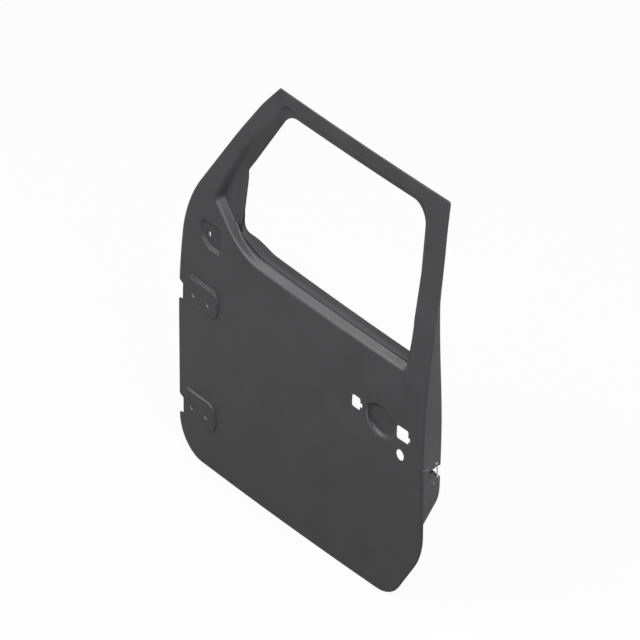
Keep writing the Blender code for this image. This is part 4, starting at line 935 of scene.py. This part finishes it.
def dip_primer(name, dark, pale, rough, peel):
    """Cathodic dip primer on pressed sheet, baked.

    It leaves an even, dark, low satin film. What the eye sees is a faint cloudy
    change of tone over hand widths, a fine dry grain, and a shallow ripple of
    the film, whose real width is about 2 mm and is drawn at 5 mm to show. The
    IOR is fitted to the photograph and not measured: a real film's is near 1.5,
    which mirrors more of the lamps than the photograph shows.
    """
    mat = bpy.data.materials.new(name)
    mat.use_nodes = True
    tree = mat.node_tree
    shader = tree.nodes["Principled BSDF"]
    shader.inputs["IOR"].default_value = PRIMER_IOR
    place = add(tree, "ShaderNodeTexCoord").outputs["Object"]
    cloud = add(tree, "ShaderNodeTexNoise", {"Scale": CLOUD, "Detail": 4.0}, {"Vector": place})
    grain = add(tree, "ShaderNodeTexNoise", {"Scale": GRAIN, "Detail": 3.0},
                {"Vector": place})
    wave = add(tree, "ShaderNodeTexNoise", {"Scale": RIPPLE, "Detail": 1.0},
               {"Vector": place})
    both = add(tree, "ShaderNodeMix", {"data_type": "FLOAT", "Factor": 0.45},
               {2: cloud.outputs["Fac"], 3: grain.outputs["Fac"]})
    spread = add(tree, "ShaderNodeMapRange",
                 {"From Min": 0.3, "From Max": 0.7, "To Min": 0.0, "To Max": 1.0},
                 {"Value": both.outputs[0]})
    tone = add(tree, "ShaderNodeMix",
               {"data_type": "RGBA", 6: srgb(dark), 7: srgb(pale)},
               {"Factor": spread.outputs[0]})
    tree.links.new(tone.outputs[2], shader.inputs["Base Color"])
    gloss = add(tree, "ShaderNodeMapRange",
                {"From Min": 0.3, "From Max": 0.7, "To Min": rough - 0.05,
                 "To Max": rough + 0.06}, {"Value": cloud.outputs["Fac"]})
    tree.links.new(gloss.outputs[0], shader.inputs["Roughness"])
    fine = add(tree, "ShaderNodeBump", {"Strength": 0.22, "Distance": 0.0004},
               {"Height": grain.outputs["Fac"]})
    film = add(tree, "ShaderNodeBump", {"Strength": peel, "Distance": 0.0006},
               {"Height": wave.outputs["Fac"], "Normal": fine.outputs["Normal"]})
    tree.links.new(film.outputs["Normal"], shader.inputs["Normal"])
    return mat


def zinc_plate(name):
    """Bright zinc on a rolled steel nut: a pale blue-grey metal, a little uneven."""
    mat = bpy.data.materials.new(name)
    mat.use_nodes = True
    tree = mat.node_tree
    shader = tree.nodes["Principled BSDF"]
    shader.inputs["Metallic"].default_value = 1.0
    place = add(tree, "ShaderNodeTexCoord").outputs["Object"]
    cloud = add(tree, "ShaderNodeTexNoise", {"Scale": ZINC_GRAIN, "Detail": 3.0},
                {"Vector": place})
    tone = add(tree, "ShaderNodeMix",
               {"data_type": "RGBA", 6: srgb("9a9c9e"), 7: srgb("b9bbbc")},
               {"Factor": cloud.outputs["Fac"]})
    tree.links.new(tone.outputs[2], shader.inputs["Base Color"])
    gloss = add(tree, "ShaderNodeMapRange", {"To Min": 0.32, "To Max": 0.5},
                {"Value": cloud.outputs["Fac"]})
    tree.links.new(gloss.outputs[0], shader.inputs["Roughness"])
    return mat


def mastic(name):
    """Anti-drum mastic, pressed on by hand and baked: dull, black and pitted."""
    mat = bpy.data.materials.new(name)
    mat.use_nodes = True
    tree = mat.node_tree
    shader = tree.nodes["Principled BSDF"]
    shader.inputs["Roughness"].default_value = 0.88
    shader.inputs["IOR"].default_value = 1.5
    place = add(tree, "ShaderNodeTexCoord").outputs["Object"]
    lumps = add(tree, "ShaderNodeTexNoise", {"Scale": MASTIC_LUMPS, "Detail": 5.0},
                {"Vector": place})
    tone = add(tree, "ShaderNodeMix",
               {"data_type": "RGBA", 6: srgb("202022"), 7: srgb("363638")},
               {"Factor": lumps.outputs["Fac"]})
    tree.links.new(tone.outputs[2], shader.inputs["Base Color"])
    pits = add(tree, "ShaderNodeBump", {"Strength": 0.6, "Distance": 0.001},
               {"Height": lumps.outputs["Fac"]})
    tree.links.new(pits.outputs["Normal"], shader.inputs["Normal"])
    return mat


def dress():
    """Make the fine panels, place them on the body and give every part its finish.

    The tones are fitted to the photograph under these lamps, which are brighter
    than plain, so the primers are written darker than they render. The pan's
    primer is written paler than the skin's, as painted light on the jamb that the
    lamps light more. The rail's is written darker than the bracket primer of its
    slot, as painted shade set for how bright the ledge under the glass slot
    renders. The plates behind latch, check strap and hinges are written much
    paler than the rest: painted light on the shaded inside that shows through the
    latch mouth and the other openings. The tapped plates get bright zinc in place
    of primer, as painted light in the hinge bolt bores.
    """
    skin_primer = dip_primer("dip_primer_skin", "1b1b1c", "232324", 0.40, 0.10)
    # Painted light: the pan's primer is written paler than the skin's, so the jamb reads as lit
    pan_primer_painted_light = dip_primer("dip_primer_pan_painted_light", "262627", "2e2e2f", 0.46, 0.12)
    bracket_primer = dip_primer("dip_primer_bracket", "28282a", "323233", 0.48, 0.14)
    # Painted shade: darker than the bracket primer of the same slot, set for how bright the
    # ledge and upright under the glass slot render
    rail_primer_painted_shade = dip_primer("dip_primer_rail_painted_shade", "212122", "29292a", 0.48, 0.14)
    beam_primer = dip_primer("dip_primer_tube", "242426", "2e2e30", 0.40, 0.08)
    # Painted light: this primer is written much paler than it is, so the shaded inside behind
    # the openings reads lighter
    plate_primer_painted_light = dip_primer("dip_primer_plate_painted_light", "606062", "6e6e70", 0.45, 0.16)
    zinc = zinc_plate("zinc_plated_nut_and_bore_light")
    pad = mastic("anti_drum_mastic")
    for piece, node, slot, finish in (
            (outer_skin(), "outer_panel", "outer_primer", skin_primer),
            (inner_pan(), "inner_panel", "inner_primer", pan_primer_painted_light),
            (inner_belt_rail(), "belt_inner_rail", "bracket_primer", rail_primer_painted_shade)):
        piece.data.materials.clear()
        piece.data.materials.append(finish)
        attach(piece, "root")
        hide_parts(node)
    lip = latch_lip()
    lip.data.materials.append(pan_primer_painted_light)
    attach(lip, "root")
    for name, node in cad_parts.items():
        # Weld nuts are zinc plated; the tapped plates get the same bright zinc in place of
        # primer, as painted light in the hinge bolt bores
        if name.startswith("weld_nut") or "tapped" in name:
            finish = zinc
        elif name.startswith("mastic"):
            finish = pad
        elif name == "side_impact_beam":
            finish = beam_primer
        elif name in PAINTED_LIGHT_PLATES:
            finish = plate_primer_painted_light
        else:
            finish = bracket_primer
        for place in node.material_slots:
            place.material = finish


def camera():
    """Long lens from the rear, outside and above, aimed so that the door falls
    where the photograph has it."""
    round_, up = math.radians(AZIMUTH), math.radians(ELEVATION)
    back = Vector((math.sin(round_) * math.cos(up), -math.cos(round_) * math.cos(up),
                   math.sin(up)))
    data = bpy.data.cameras.new("view")
    data.lens = LENS
    data.sensor_width = SENSOR
    data.clip_end = CLIP_END
    item = bpy.data.objects.new("view", data)
    item.location = Vector(VIEW_POINT) + back * DISTANCE
    item.rotation_euler = (-back).to_track_quat("-Z", "Y").to_euler()
    bpy.context.scene.collection.objects.link(item)
    bpy.context.scene.camera = item


def floor():
    """Plain pale floor at the foot of the door. To the camera it is mostly a white
    glow, so that it reads white and keeps a faint shadow. Light bounced to the
    door, and the floor mirrored in it, come from the matt grey instead, which
    keeps the skin as dark as in the photograph."""
    foot = CAD_BOX[0][2] - 0.0005
    size = FLOOR_HALF
    mesh = bpy.data.meshes.new("floor")
    mesh.from_pydata([(-size, -size, foot), (size, -size, foot), (size, size, foot),
                      (-size, size, foot)], [], [(0, 1, 2, 3)])
    item = bpy.data.objects.new("floor", mesh)
    bpy.context.scene.collection.objects.link(item)
    mat = bpy.data.materials.new("pale_matt_floor")
    mat.use_nodes = True
    tree = mat.node_tree
    tree.nodes.remove(tree.nodes["Principled BSDF"])
    pale = add(tree, "ShaderNodeBsdfDiffuse", {"Color": srgb("7c7c7c")})
    glow = add(tree, "ShaderNodeEmission", {"Color": srgb("ffffff"), "Strength": 1.0})
    path = add(tree, "ShaderNodeLightPath")
    seen = add(tree, "ShaderNodeMath", {"operation": "MAXIMUM"},
               {0: path.outputs["Is Camera Ray"], 1: path.outputs["Is Transmission Ray"]})
    share = add(tree, "ShaderNodeMath", {"operation": "MULTIPLY", 1: FLOOR_GLOW},
                {0: seen.outputs[0]})
    both = add(tree, "ShaderNodeMixShader", {}, {0: share.outputs[0],
                                                1: pale.outputs[0], 2: glow.outputs[0]})
    tree.links.new(both.outputs[0], tree.nodes["Material Output"].inputs["Surface"])
    mesh.materials.append(mat)


def light():
    """Soft surroundings, brighter overhead, which only the camera sees as white,
    and a large soft panel on every side of the door and above it."""
    world = bpy.data.worlds.new("soft_room")
    bpy.context.scene.world = world
    world.use_nodes = True
    tree = world.node_tree
    sky = tree.nodes["Background"]
    place = add(tree, "ShaderNodeTexCoord").outputs["Generated"]
    height = add(tree, "ShaderNodeSeparateXYZ", {}, {0: place}).outputs["Z"]
    level = add(tree, "ShaderNodeMapRange",
                {"From Min": 0.0, "From Max": 0.9, "To Min": 0.08, "To Max": 0.25},
                {"Value": height})
    path = add(tree, "ShaderNodeLightPath")
    seen = add(tree, "ShaderNodeMix", {"data_type": "FLOAT", 3: 1.0},
               {"Factor": path.outputs["Is Camera Ray"], 2: level.outputs[0]})
    tree.links.new(seen.outputs[0], sky.inputs["Strength"])
    sky.inputs["Color"].default_value = srgb("ffffff")
    for name, place, size, watts in LAMPS:
        soft_panel(name, place, size, watts)


def soft_panel(name, place, size, watts):
    """Large soft lamp aimed at the middle of the door."""
    data = bpy.data.lights.new(name, "AREA")
    data.shape = "RECTANGLE"
    data.size, data.size_y = size
    data.energy = watts
    item = bpy.data.objects.new(name, data)
    item.location = place
    aim = Vector(LAMP_AIM) - Vector(place)
    item.rotation_euler = aim.to_track_quat("-Z", "Y").to_euler()
    bpy.context.scene.collection.objects.link(item)


bpy.context.scene.view_settings.view_transform = "Standard"
camera()
dress()
floor()
light()
